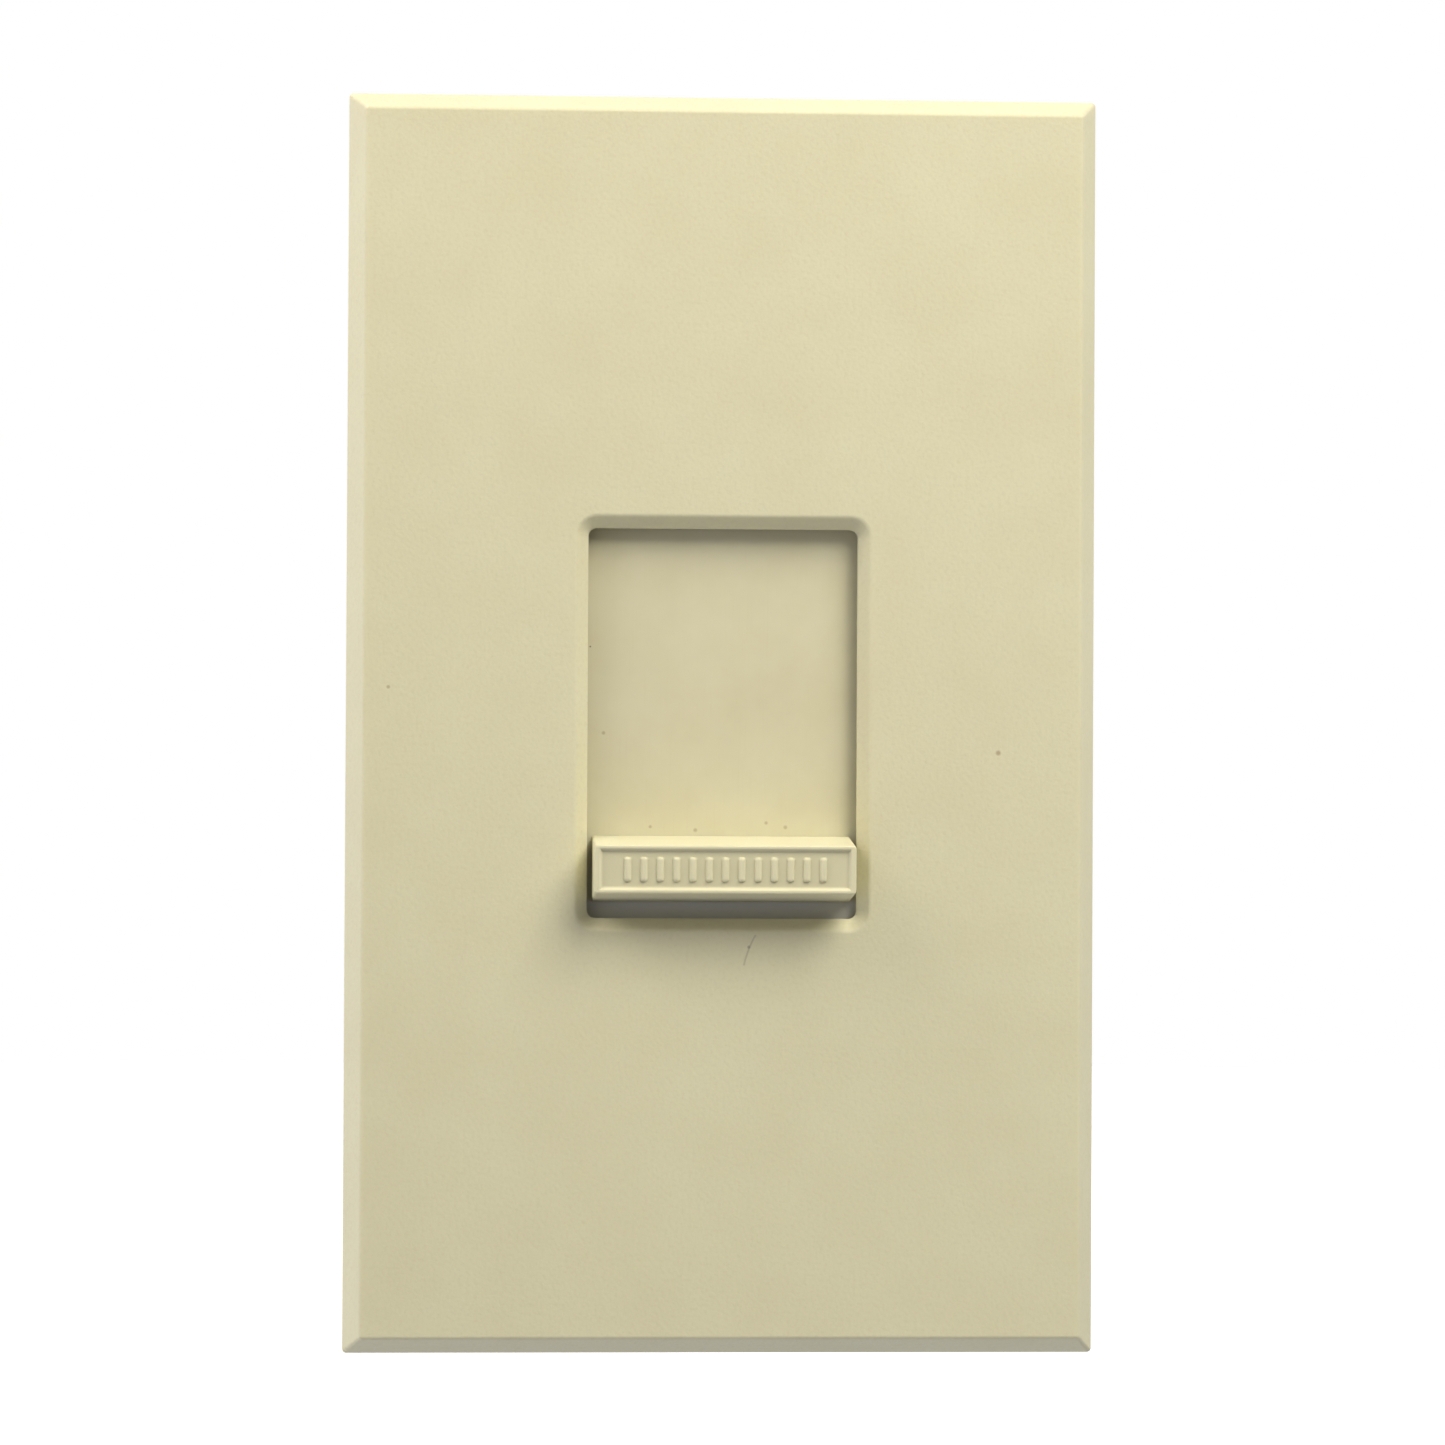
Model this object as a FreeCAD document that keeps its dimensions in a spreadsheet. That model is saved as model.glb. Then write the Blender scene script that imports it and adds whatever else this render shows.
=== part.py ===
"""Wall-box slide dimmer: clip-on faceplate, knob on a sliding shutter, aluminium yoke and a rear housing.

The frame: X to the right, Y into the wall, Z up. The origin is midway between the two box screws, on the
back of the yoke, so y = 0 is the wall. Lengths are millimetres. The knob stands at the bottom of its travel.
"""

import FreeCAD, Part
import math
import os
import re
import Sketcher

# Driving dimensions, one row each: alias, value in millimetres (or a count), what it is.
DIMENSIONS = [
    ("plate_width", 69.85, "faceplate, overall width"),
    ("plate_height", 117.0, "faceplate, overall height"),
    ("plate_depth", 7.6, "faceplate, front face to the wall"),
    ("plate_wall", 1.9, "faceplate, thickness of the front"),
    ("plate_side_wall", 1.7, "faceplate, thickness of the four sides"),
    ("wall_gap", 0.3, "faceplate, air between its rear rim and the wall"),
    ("bevel_width", 1.6, "edge bevel, measured across the front"),
    ("bevel_depth", 3.5, "edge bevel, measured towards the wall"),
    ("bevel_round", 0.4, "rounding of the bevel's front edges and mitres"),
    ("window_side_gap", 0.5, "knob window, air beside each end of the knob"),
    ("window_end_gap", 1.55, "knob window, air beyond the knob at each end of its travel"),
    ("window_corner", 0.8, "knob window, corner radius"),
    ("window_lip", 1.1, "knob window, width and depth of the sloped lip round its front"),
    ("lip_round", 0.5, "knob window, rounding where the lip meets the front"),
    ("rib_thick", 1.0, "faceplate, stiffening ribs"),
    ("rib_height", 1.3, "faceplate, how far the ribs stand off the front wall"),
    ("post_radius", 1.6, "faceplate, posts that rest on the yoke"),
    ("clip_reach", 1.0, "faceplate, how far each clip nub stands inward"),
    ("clip_length", 8.0, "faceplate, length of a clip nub"),
    ("clip_spacing", 68.0, "faceplate, distance between the clips on one side"),
    ("pry_width", 8.0, "faceplate, screwdriver notch in the bottom edge"),
    ("pry_height", 0.9, "faceplate, height of that notch"),
    ("knob_length", 24.1, "knob, across the window"),
    ("knob_base_height", 6.1, "knob, height at the shutter"),
    ("knob_front_height", 4.35, "knob, height at its front face"),
    ("knob_proud", 4.5, "knob, how far it stands in front of the faceplate"),
    ("knob_rim_end", 0.6, "knob, raised rim at the two ends"),
    ("knob_rim_side", 0.45, "knob, raised rim along top and bottom"),
    ("knob_field_depth", 0.4, "knob, depth of the field inside the rim"),
    ("knob_round", 0.15, "knob, rounding of its edges"),
    ("grip_width", 0.6, "knob, width of one grip rib"),
    ("grip_height", 2.3, "knob, height of one grip rib"),
    ("grip_relief", 0.3, "knob, how far a grip rib stands off the field"),
    ("grip_pitch", 1.5, "knob, spacing of the grip ribs"),
    ("knob_travel", 27.0, "travel of the knob"),
    ("recess_depth", 2.7, "shutter face behind the faceplate front"),
    ("shutter_thick", 0.9, "shutter, thickness"),
    ("shutter_side_lap", 1.65, "shutter, hidden width beyond each side of the window"),
    ("shutter_end_lap", 1.2, "shutter, hidden length beyond the window at each end of travel"),
    ("stem_width", 6.0, "knob stem, width"),
    ("stem_height", 6.0, "knob stem, height"),
    ("stem_grip", 0.5, "knob stem, how far it passes the back of the yoke"),
    ("barb_reach", 0.4, "knob stem, size of its two barbs"),
    ("slide_gap", 0.2, "sliding clearance"),
    ("fit_gap", 0.05, "clearance of pieces that are pushed together"),
    ("yoke_thick", 2.4, "yoke, thickness"),
    ("yoke_edge_gap", 0.4, "yoke, air to the faceplate's sides"),
    ("groove_depth", 0.9, "yoke, depth of the clip groove in each long edge"),
    ("groove_width", 1.0, "yoke, width of that groove"),
    ("groove_back", 0.7, "yoke, distance from the wall to the groove"),
    ("box_screw_spacing", 83.3, "yoke, distance between the two box screw holes"),
    ("box_screw_hole", 2.1, "yoke, radius of a box screw hole"),
    ("box_screw_sink", 3.6, "yoke, radius of its countersink"),
    ("ground_hole", 1.4, "yoke, radius of the tapped ground screw hole"),
    ("ground_side", 12.0, "yoke, ground hole to the right of the centre"),
    ("ground_inset", 4.3, "yoke, ground hole above the bottom edge"),
    ("rail_width", 2.0, "guide frame, width of a side rail"),
    ("rail_lip", 1.2, "guide frame, how far a rail's lip covers the shutter"),
    ("lip_thick", 0.5, "guide frame, thickness of that lip"),
    ("peg_radius", 1.2, "guide frame, heat-stake pegs"),
    ("peg_head", 1.9, "guide frame, radius of a formed peg head"),
    ("peg_head_thick", 0.7, "guide frame, thickness of a formed peg head"),
    ("peg_spacing_x", 23.0, "guide frame, pegs across"),
    ("peg_clear", 0.4, "guide frame, air between a peg head and the housing"),
    ("sheet_thick", 0.4, "insulating sheet, thickness"),
    ("housing_slack", 0.7, "rear housing, air beside the triac"),
    ("housing_depth", 30.0, "rear housing, depth"),
    ("housing_wall", 1.8, "rear housing, thickness of the walls"),
    ("housing_corner", 1.6, "rear housing, rounding of its corners"),
    ("boss_radius", 2.9, "rear housing, radius of the screw bosses"),
    ("boss_inset", 2.5, "rear housing, boss centre inside the inner corner"),
    ("screw_radius", 1.35, "housing screw, radius of the shank"),
    ("screw_head", 2.6, "housing screw, radius of the flat head"),
    ("screw_length", 10.0, "housing screw, length with its head"),
    ("board_thick", 1.6, "circuit board, thickness"),
    ("board_height", 51.2, "circuit board, height"),
    ("board_side_gap", 1.1, "circuit board, air to the housing's sides"),
    ("frame_depth", 6.0, "potentiometer frame, depth behind the sheet"),
    ("frame_wall", 1.1, "potentiometer frame, walls"),
    ("strip_thick", 0.6, "resistor strip, thickness"),
    ("track_thick", 0.15, "carbon track and contact rails, thickness"),
    ("track_width", 2.0, "carbon track, width"),
    ("rail_strip_width", 1.2, "brass contact rails, width"),
    ("neck_width", 9.2, "carriage neck, width"),
    ("neck_height", 8.4, "carriage neck, height"),
    ("head_width", 11.8, "carriage head, width"),
    ("head_height", 11.0, "carriage head, height"),
    ("leaf_thick", 0.2, "contact springs, thickness"),
    ("switch_lift", 3.2, "knob rise at which the switch rails are reached"),
    ("tab_width", 10.0, "triac, width"),
    ("tab_length", 15.2, "triac, length of the metal tab"),
    ("tab_thick", 1.3, "triac, thickness of the tab"),
    ("epoxy_length", 9.2, "triac, length of the moulded body"),
    ("epoxy_thick", 3.2, "triac, moulded body behind the tab"),
    ("pad_margin", 0.5, "triac, insulating pad beyond the tab on every side"),
    ("triac_gap", 0.3, "triac, air between the pad and the potentiometer"),
    ("triac_top", 14.0, "triac, top of the tab"),
    ("rivet_radius", 1.6, "triac rivet, radius of the shank"),
    ("rivet_head", 3.0, "triac rivet, radius of both heads"),
    ("lead_pitch", 2.54, "triac, spacing of its leads"),
    ("lead_width", 0.8, "triac, width of a lead"),
    ("choke_ring", 7.2, "choke, radius of the core's centre line"),
    ("choke_section", 2.9, "choke, radius of the core's section"),
    ("choke_wire", 0.45, "choke, radius of the winding wire"),
    ("choke_inset", 1.55, "choke, below the top of the board"),
    ("trim_size", 6.6, "trimmer, side of its square base"),
    ("trim_height", 4.0, "trimmer, height of the base"),
    ("trim_inset", 4.8, "trimmer, centre inside the board's right edge"),
    ("trim_drop", 10.2, "trimmer, centre below the origin"),
    ("rotor_radius", 1.7, "trimmer, radius of the rotor"),
    ("rotor_thick", 1.0, "trimmer, thickness of the rotor head"),
    ("grommet_bore", 1.85, "lead grommet, radius of the bore"),
    ("grommet_barrel", 3.5, "lead grommet, radius in the housing wall"),
    ("grommet_flange", 4.6, "lead grommet, radius of the flanges"),
    ("grommet_flange_thick", 1.2, "lead grommet, thickness of each flange"),
    ("grommet_spacing", 15.0, "lead grommets, distance apart"),
    ("grommet_drop", 24.0, "lead grommets, below the centre"),
    ("wire_radius", 0.32, "component legs, radius"),
]

GRIP_COUNT = 13
CHOKE_TURNS = 20
CHOKE_GAP_TURNS = 2

doc = FreeCAD.newDocument("slide_dimmer")
sheet = doc.addObject("Spreadsheet::Sheet", "Dims")
ALIASES = {alias for alias, _, _ in DIMENSIONS}
for row, (alias, value, meaning) in enumerate(DIMENSIONS, start=1):
    sheet.set(f"A{row}", meaning)
    sheet.set(f"B{row}", str(value))
    sheet.setAlias(f"B{row}", alias)
doc.recompute()

# Depths along Y that several pieces share, front to back.
FRONT = "(-plate_depth)"
PLATE_BACK = f"({FRONT} + plate_wall)"
BEVEL_BACK = f"({FRONT} + bevel_depth)"
RIM_BACK = "(-wall_gap)"
KNOB_FRONT = f"({FRONT} - knob_proud)"
SHUTTER_FRONT = f"({FRONT} + recess_depth)"
SHUTTER_BACK = f"({SHUTTER_FRONT} + shutter_thick)"
GUIDE_FRONT = f"({SHUTTER_BACK} + slide_gap)"
YOKE_FRONT = "(-yoke_thick)"
SHEET_BACK = "(sheet_thick)"
HOUSING_BACK = f"({SHEET_BACK} + housing_depth)"
HOUSING_FLOOR = f"({HOUSING_BACK} - housing_wall)"
FRAME_BACK = f"({SHEET_BACK} + frame_depth)"
STRIP_BACK = f"({FRAME_BACK} + strip_thick)"
BOARD_FRONT = STRIP_BACK
BOARD_BACK = f"({BOARD_FRONT} + board_thick)"
HEAD_FRONT = f"({SHEET_BACK} + frame_wall + slide_gap)"
HEAD_BACK = f"({HEAD_FRONT} + 3.4)"
TRACK_FRONT = f"({FRAME_BACK} - track_thick)"

# Half sizes and places that several pieces share.
KNOB_Z = "(-knob_travel/2)"
WINDOW_HALF = "(knob_length/2 + window_side_gap)"
WINDOW_REACH = "(knob_travel/2 + knob_base_height/2 + window_end_gap)"
SHUTTER_HALF = f"({WINDOW_HALF} + shutter_side_lap)"
SHUTTER_REACH = f"({WINDOW_REACH} + knob_travel/2 + shutter_end_lap)"
GUIDE_HALF = f"({SHUTTER_HALF} + slide_gap + rail_width)"
GUIDE_REACH = f"({SHUTTER_REACH} + knob_travel/2 + 1)"
SLOT_REACH = "(knob_travel/2 + neck_height/2 + 2*slide_gap)"
YOKE_HALF = "(plate_width/2 - plate_side_wall - yoke_edge_gap)"
YOKE_REACH = "(plate_height/2 - plate_side_wall - yoke_edge_gap)"
FRAME_HALF = "(head_width/2 + slide_gap + frame_wall)"
FRAME_REACH = "(knob_travel/2 + head_height/2 + 2*slide_gap + frame_wall)"
TRIAC_X = f"({FRAME_HALF} + triac_gap + pad_margin + tab_width/2)"
HOUSING_HALF = f"({TRIAC_X} + tab_width/2 + housing_slack + housing_wall)"
BOARD_HALF = f"({HOUSING_HALF} - housing_wall - board_side_gap)"
BOARD_REACH = "(board_height/2)"
BOSS_X = f"({HOUSING_HALF} - housing_wall - boss_inset)"
BOSS_Z = f"({BOARD_REACH} + slide_gap + boss_radius)"
HOUSING_REACH = f"({BOSS_Z} + boss_inset + housing_wall)"
PEG_Z = f"({HOUSING_REACH} + peg_head + peg_clear)"
CHOKE_OUTER = "(choke_ring + choke_section + 2*choke_wire + fit_gap)"
CHOKE_Y = f"({BOARD_BACK} + choke_section + 2*choke_wire + 0.3)"
CHOKE_Z = f"({BOARD_REACH} - choke_inset - {CHOKE_OUTER})"
TRIM_X = f"({BOARD_HALF} - trim_inset)"
RIVET_Z = "(triac_top - 2.8)"
TRIAC_LEG_Z = "(triac_top - tab_length - 3.4)"

parts = []


def bound(text):
    """The text as an expression, with each alias read from the sheet."""
    return re.sub(r"[a-z_]+", lambda m: "Dims." + m.group() if m.group() in ALIASES else m.group(), text)


def number(text):
    """The value of an expression in millimetres."""
    return float(sheet.evalExpression(bound(text)))


def bind(thing, name, text):
    thing.setExpression(name, bound(text))


def new_body(label):
    body = doc.addObject("PartDesign::Body", label)
    body.Label = label
    return body


def keep(thing, label=None):
    """Marks an object as a finished sub-part, under the label that names its file."""
    if label:
        thing.Label = label
    parts.append(thing)
    return thing


def sketch_on(body, plane, shift):
    """An empty sketch on one of the body's own planes, moved along that plane's normal."""
    sketch = body.newObject("Sketcher::SketchObject", "Sketch")
    support = [f for f in body.Origin.OriginFeatures if f.Role == plane][0]
    sketch.AttachmentSupport = [(support, "")]
    sketch.MapMode = "FlatFace"
    bind(sketch, "AttachmentOffset.Base.z", shift)
    return sketch


def pin_point(sketch, geometry, point, place):
    """Ties one point of the sketch to a place given as two expressions."""
    for kind, text in zip(("DistanceX", "DistanceY"), place):
        at = sketch.addConstraint(Sketcher.Constraint(kind, -1, 1, geometry, point, number(text)))
        bind(sketch, f"Constraints[{at}]", text)


def outline(body, plane, shift, corners):
    """A closed polygon, with every corner tied to its two expressions."""
    sketch = sketch_on(body, plane, shift)
    places = [FreeCAD.Vector(number(a), number(b), 0) for a, b in corners]
    count = len(corners)
    for i in range(count):
        sketch.addGeometry(Part.LineSegment(places[i], places[(i + 1) % count]), False)
    for i in range(count):
        sketch.addConstraint(Sketcher.Constraint("Coincident", i, 2, (i + 1) % count, 1))
    for i, place in enumerate(corners):
        pin_point(sketch, i, 1, place)
    return sketch


def rectangle(body, shift, x, z):
    """A rectangle in the wall plane; x and z are pairs of expressions."""
    corners = [(x[0], z[0]), (x[1], z[0]), (x[1], z[1]), (x[0], z[1])]
    return outline(body, "XZ_Plane", shift, corners)


def circle(body, shift, x, z, radius):
    sketch = sketch_on(body, "XZ_Plane", shift)
    centre = FreeCAD.Vector(number(x), number(z), 0)
    sketch.addGeometry(Part.Circle(centre, FreeCAD.Vector(0, 0, 1), number(radius)), False)
    pin_point(sketch, 0, 3, (x, z))
    at = sketch.addConstraint(Sketcher.Constraint("Radius", 0, number(radius)))
    bind(sketch, f"Constraints[{at}]", radius)
    return sketch


def grow(body, sketch, length):
    feature = body.newObject("PartDesign::Pad", "Pad")
    feature.Profile = sketch
    bind(feature, "Length", length)
    return feature


def cut(body, sketch, length):
    """Cuts along the sketch's normal, the way a pad would grow."""
    feature = body.newObject("PartDesign::Pocket", "Pocket")
    feature.Profile = sketch
    feature.Reversed = True
    bind(feature, "Length", length)
    return feature


def slab(body, x, y, z, work=grow):
    """A block between pairs of expressions: y runs from the front to the back."""
    return work(body, rectangle(body, f"-({y[1]})", x, z), f"({y[1]}) - ({y[0]})")


def rod(body, x, z, radius, y, work=grow):
    """A cylinder along Y, from the front to the back."""
    return work(body, circle(body, f"-({y[1]})", x, z, radius), f"({y[1]}) - ({y[0]})")


def cone_cut(body, x, z, radii, y):
    """A countersink: its radii and depths run from the front to the back."""
    wide = circle(body, f"-({y[0]})", x, z, radii[0])
    narrow = circle(body, f"-({y[1]})", x, z, radii[1])
    feature = body.newObject("PartDesign::SubtractiveLoft", "Countersink")
    feature.Profile = wide
    feature.Sections = [narrow]
    return feature


def cone(body, x, z, radii, y):
    wide = circle(body, f"-({y[0]})", x, z, radii[0])
    narrow = circle(body, f"-({y[1]})", x, z, radii[1])
    feature = body.newObject("PartDesign::AdditiveLoft", "Head")
    feature.Profile = wide
    feature.Sections = [narrow]
    return feature


def both(half, centre="0"):
    """A pair of expressions that lie each side of a centre."""
    return (f"({centre}) - ({half})", f"({centre}) + ({half})")


def round_edges(body, radius, chosen, kind="Fillet"):
    """Rounds, or with kind Chamfer slopes, the edges of the body's tip whose bounding box passes the test."""
    doc.recompute()
    base = body.Tip
    names = [f"Edge{i}" for i, e in enumerate(base.Shape.Edges, start=1) if chosen(e.BoundBox)]
    if not names:
        raise ValueError(f"{body.Label}: no edge to round")
    feature = body.newObject(f"PartDesign::{kind}", kind)
    feature.Base = (base, names)
    bind(feature, "Radius" if kind == "Fillet" else "Size", radius)
    return feature


def near(a, b):
    return abs(a - b) < 1e-4


def group(label, members):
    """Identical loose pieces as one sub-part of separate solids."""
    compound = doc.addObject("Part::Compound", label)
    compound.Links = members
    return keep(compound, label)


def corners_of(x, z):
    """The four places at plus and minus x and z."""
    return [(f"{i}*({x})", f"{j}*({z})") for i in (-1, 1) for j in (-1, 1)]


def faceplate():
    body = new_body("faceplate")
    full_x, full_z = both("plate_width/2"), both("plate_height/2")
    slab(body, full_x, (BEVEL_BACK, RIM_BACK), full_z)
    bevel = body.newObject("PartDesign::AdditiveLoft", "Bevel")
    bevel.Profile = rectangle(body, f"-{BEVEL_BACK}", full_x, full_z)
    flat_x, flat_z = both("plate_width/2 - bevel_width"), both("plate_height/2 - bevel_width")
    bevel.Sections = [rectangle(body, f"-{FRONT}", flat_x, flat_z)]
    bevel.Ruled = True
    front, bevel_back = number(FRONT), number(BEVEL_BACK)
    round_edges(
        body,
        "bevel_round",
        lambda b: near(b.YMin, front) or (b.YLength > 1 and b.XLength < 5 and b.ZLength < 5 and b.YMin < 0),
    )
    inner_x, inner_z = both("plate_width/2 - plate_side_wall"), both("plate_height/2 - plate_side_wall")
    slab(body, inner_x, (PLATE_BACK, "0"), inner_z, cut)
    slab(body, both(WINDOW_HALF), (f"{FRONT} - 1", "0"), both(WINDOW_REACH), cut)
    half_x, half_z = number(WINDOW_HALF), number(WINDOW_REACH)
    round_edges(
        body,
        "window_corner",
        lambda b: near(b.XLength + b.ZLength, 0) and near(abs(b.XMin), half_x) and near(abs(b.ZMin), half_z),
    )
    reach = max(half_x, half_z) + 0.1
    round_edges(
        body,
        "window_lip",
        lambda b: near(b.YMin, front) and b.YLength < 1e-4 and max(abs(b.XMin), abs(b.ZMin)) < reach,
        kind="Chamfer",
    )
    reach += number("window_lip")
    round_edges(
        body,
        "lip_round",
        lambda b: near(b.YMin, front) and b.YLength < 1e-4 and max(abs(b.XMin), abs(b.ZMin)) < reach,
    )
    wall = "(plate_width/2 - plate_side_wall)"
    rib_x = f"(({GUIDE_HALF} + {wall})/2)"
    rib_z = f"(({GUIDE_REACH} + plate_height/2 - plate_side_wall)/2)"
    rib_y = (f"{PLATE_BACK} - 0.1", f"{PLATE_BACK} + rib_height")
    for side in (-1, 1):
        slab(body, both("rib_thick/2", f"{side}*{rib_x}"), rib_y, both(rib_z))
        slab(body, both(rib_x), rib_y, both("rib_thick/2", f"{side}*{rib_z}"))
    for x, z in corners_of(rib_x, rib_z):
        rod(body, x, z, "post_radius", (f"{PLATE_BACK} - 0.1", f"{YOKE_FRONT} - fit_gap"))
    groove_mid = "(-groove_back - groove_width/2)"
    for side in (-1, 1):
        for end in (-1, 1):
            slab(
                body,
                (f"{side}*({wall} - clip_reach)", f"{side}*({wall} + plate_side_wall/2)"),
                both("groove_width/2 - 0.1", groove_mid),
                both("clip_length/2", f"{end}*clip_spacing/2"),
            )
    slab(
        body,
        both("pry_width/2"),
        (f"{RIM_BACK} - pry_height", "0"),
        ("-plate_height/2 - 1", "-plate_height/2 + plate_side_wall + 0.1"),
        cut,
    )
    return keep(body)


def countersunk_hole(body, x, z, hole, sink):
    """A clearance hole through the yoke with a countersink that stops halfway."""
    rod(body, x, z, hole, (f"{YOKE_FRONT} - 1", "1"), cut)
    cone_cut(body, x, z, (sink, hole), (YOKE_FRONT, f"{YOKE_FRONT}/2"))


def mounting_yoke():
    body = new_body("mounting_yoke")
    slab(body, both(YOKE_HALF), (YOKE_FRONT, "0"), both(YOKE_REACH))
    for side in (-1, 1):
        slab(
            body,
            (f"{side}*({YOKE_HALF} - groove_depth)", f"{side}*({YOKE_HALF} + 1)"),
            ("-groove_back - groove_width", "-groove_back"),
            both(f"{YOKE_REACH} + 1"),
            cut,
        )
    through = (f"{YOKE_FRONT} - 1", "1")
    slab(body, both("neck_width/2 + 4*slide_gap"), through, both(f"{SLOT_REACH} + slide_gap"), cut)
    for end in (-1, 1):
        countersunk_hole(body, "0", f"{end}*box_screw_spacing/2", "box_screw_hole", "box_screw_sink")
    for x, z in corners_of(BOSS_X, BOSS_Z):
        countersunk_hole(body, x, z, "screw_radius + slide_gap", "screw_head + slide_gap")
    countersunk_hole(body, TRIAC_X, RIVET_Z, "rivet_radius + fit_gap", "rivet_head + slide_gap")
    for x, z in corners_of("peg_spacing_x/2", PEG_Z):
        rod(body, x, z, "peg_radius + fit_gap", through, cut)
    rod(body, "ground_side", f"ground_inset - {YOKE_REACH}", "ground_hole", through, cut)
    return keep(body)


def slide_guide_frame():
    """A moulded tray on the yoke: its rails hold the shutter's edges, its pegs are staked behind the yoke."""
    body = new_body("slide_guide_frame")
    slab(body, both(GUIDE_HALF), (GUIDE_FRONT, YOKE_FRONT), both(GUIDE_REACH))
    rail_inner = f"({SHUTTER_HALF} + slide_gap)"
    lip_back = f"({SHUTTER_FRONT} - slide_gap)"
    for side in (-1, 1):
        rail_x = (f"{side}*{rail_inner}", f"{side}*{GUIDE_HALF}")
        slab(body, rail_x, (f"{lip_back} - lip_thick", GUIDE_FRONT), both(GUIDE_REACH))
        lip_x = (f"{side}*({SHUTTER_HALF} - rail_lip)", f"{side}*({rail_inner} + rail_width/2)")
        slab(body, lip_x, (f"{lip_back} - lip_thick", lip_back), both(GUIDE_REACH))
    through = (f"{GUIDE_FRONT} - 0.1", f"{YOKE_FRONT} + 0.1")
    slab(body, both("neck_width/2 + 2*slide_gap"), through, both(SLOT_REACH), cut)
    for end in (-1, 1):
        rod(body, "0", f"{end}*box_screw_spacing/2", "box_screw_sink + 1.4", through, cut)
    for x, z in corners_of("peg_spacing_x/2", PEG_Z):
        rod(body, x, z, "peg_radius", (f"{YOKE_FRONT} - 0.1", "0.1"))
        rod(body, x, z, "peg_head", ("0", "peg_head_thick"))
    return keep(body)


def slide_shutter():
    body = new_body("slide_shutter")
    slab(body, both(SHUTTER_HALF), (SHUTTER_FRONT, SHUTTER_BACK), both(SHUTTER_REACH, KNOB_Z))
    through = (f"{SHUTTER_FRONT} - 1", f"{SHUTTER_BACK} + 1")
    slab(body, both("stem_width/2 + fit_gap"), through, both("stem_height/2 + fit_gap", KNOB_Z), cut)
    return keep(body)


def slider_knob():
    """The finger bar: narrower at the front, with a raised rim, grip ribs and a stem for the carriage."""
    body = new_body("slider_knob")
    ends = both("knob_length/2")
    bar = body.newObject("PartDesign::AdditiveLoft", "Bar")
    bar.Profile = rectangle(body, f"-{SHUTTER_FRONT}", ends, both("knob_base_height/2", KNOB_Z))
    bar.Sections = [rectangle(body, f"-{KNOB_FRONT}", ends, both("knob_front_height/2", KNOB_Z))]
    bar.Ruled = True
    field_x = both("knob_length/2 - knob_rim_end")
    field_z = both("knob_front_height/2 - knob_rim_side", KNOB_Z)
    slab(body, field_x, (f"{KNOB_FRONT} - 1", f"{KNOB_FRONT} + knob_field_depth"), field_z, cut)
    front = number(KNOB_FRONT)
    round_edges(body, "knob_round", lambda b: near(b.YMin, front))
    first = f"(-grip_pitch*{GRIP_COUNT - 1}/2)"
    grip_y = (f"{KNOB_FRONT} + knob_field_depth - grip_relief", f"{KNOB_FRONT} + knob_field_depth + 0.2")
    rib = slab(body, both("grip_width/2", first), grip_y, both("grip_height/2", KNOB_Z))
    row = body.newObject("PartDesign::LinearPattern", "GripRow")
    row.Originals = [rib]
    row.Direction = ([f for f in body.Origin.OriginFeatures if f.Role == "X_Axis"][0], [""])
    row.Occurrences = GRIP_COUNT
    bind(row, "Length", f"grip_pitch*{GRIP_COUNT - 1}")
    body.Tip = row
    stem_y = (f"{SHUTTER_FRONT} - 0.5", "stem_grip")
    slab(body, both("stem_width/2"), stem_y, both("stem_height/2", KNOB_Z))
    slab(body, both("stem_width/2 + barb_reach"), ("stem_grip - 1.4", "stem_grip - 0.4"), both("1.2", KNOB_Z))
    return keep(body)


def slide_carriage():
    """The nylon slider behind the shutter: its neck passes the yoke's slot, its head carries the contacts."""
    body = new_body("slide_carriage")
    slab(body, both("neck_width/2"), (SHUTTER_BACK, HEAD_FRONT), both("neck_height/2", KNOB_Z))
    slab(body, both("head_width/2"), (HEAD_FRONT, HEAD_BACK), both("head_height/2", KNOB_Z))
    socket_y = (f"{SHUTTER_BACK} - 1", "stem_grip + fit_gap")
    slab(body, both("stem_width/2 + fit_gap"), socket_y, both("stem_height/2 + fit_gap", KNOB_Z), cut)
    catch = ("stem_grip - 1.5", "stem_grip - 0.3")
    slab(body, both("neck_width/2 + 1"), catch, both("1.4", KNOB_Z), cut)
    return keep(body)


def leaf_contact(label, x, slit):
    """A folded contact spring on the back of the carriage head, with its fingers split by a slit."""
    body = new_body(label)
    tip = f"({TRACK_FRONT} - fit_gap)"
    inner = "leaf_thick"
    corners = [
        (HEAD_BACK, f"{KNOB_Z} - 4"),
        (HEAD_BACK, f"{KNOB_Z} + 4.2"),
        (f"{HEAD_BACK} + 0.36", f"{KNOB_Z} + 4.2"),
        (tip, f"{KNOB_Z} + 0.3"),
        (f"{tip} - 0.3", f"{KNOB_Z} - 1.2"),
        (f"{tip} - 0.3 - {inner}", f"{KNOB_Z} - 1.2"),
        (f"{tip} - {inner}", f"{KNOB_Z} + 0.3"),
        (f"{HEAD_BACK} + {inner} + 0.06", f"{KNOB_Z} + 4"),
        (f"{HEAD_BACK} + {inner}", f"{KNOB_Z} + 4"),
        (f"{HEAD_BACK} + {inner}", f"{KNOB_Z} - 4"),
    ]
    grow(body, outline(body, "YZ_Plane", x[0], corners), f"({x[1]}) - ({x[0]})")
    finger_y = (f"{HEAD_BACK} + leaf_thick + 0.02", f"{FRAME_BACK}")
    slab(body, slit, finger_y, (f"{KNOB_Z} - 2", f"{KNOB_Z} + 3.4"), cut)
    return keep(body)


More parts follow.
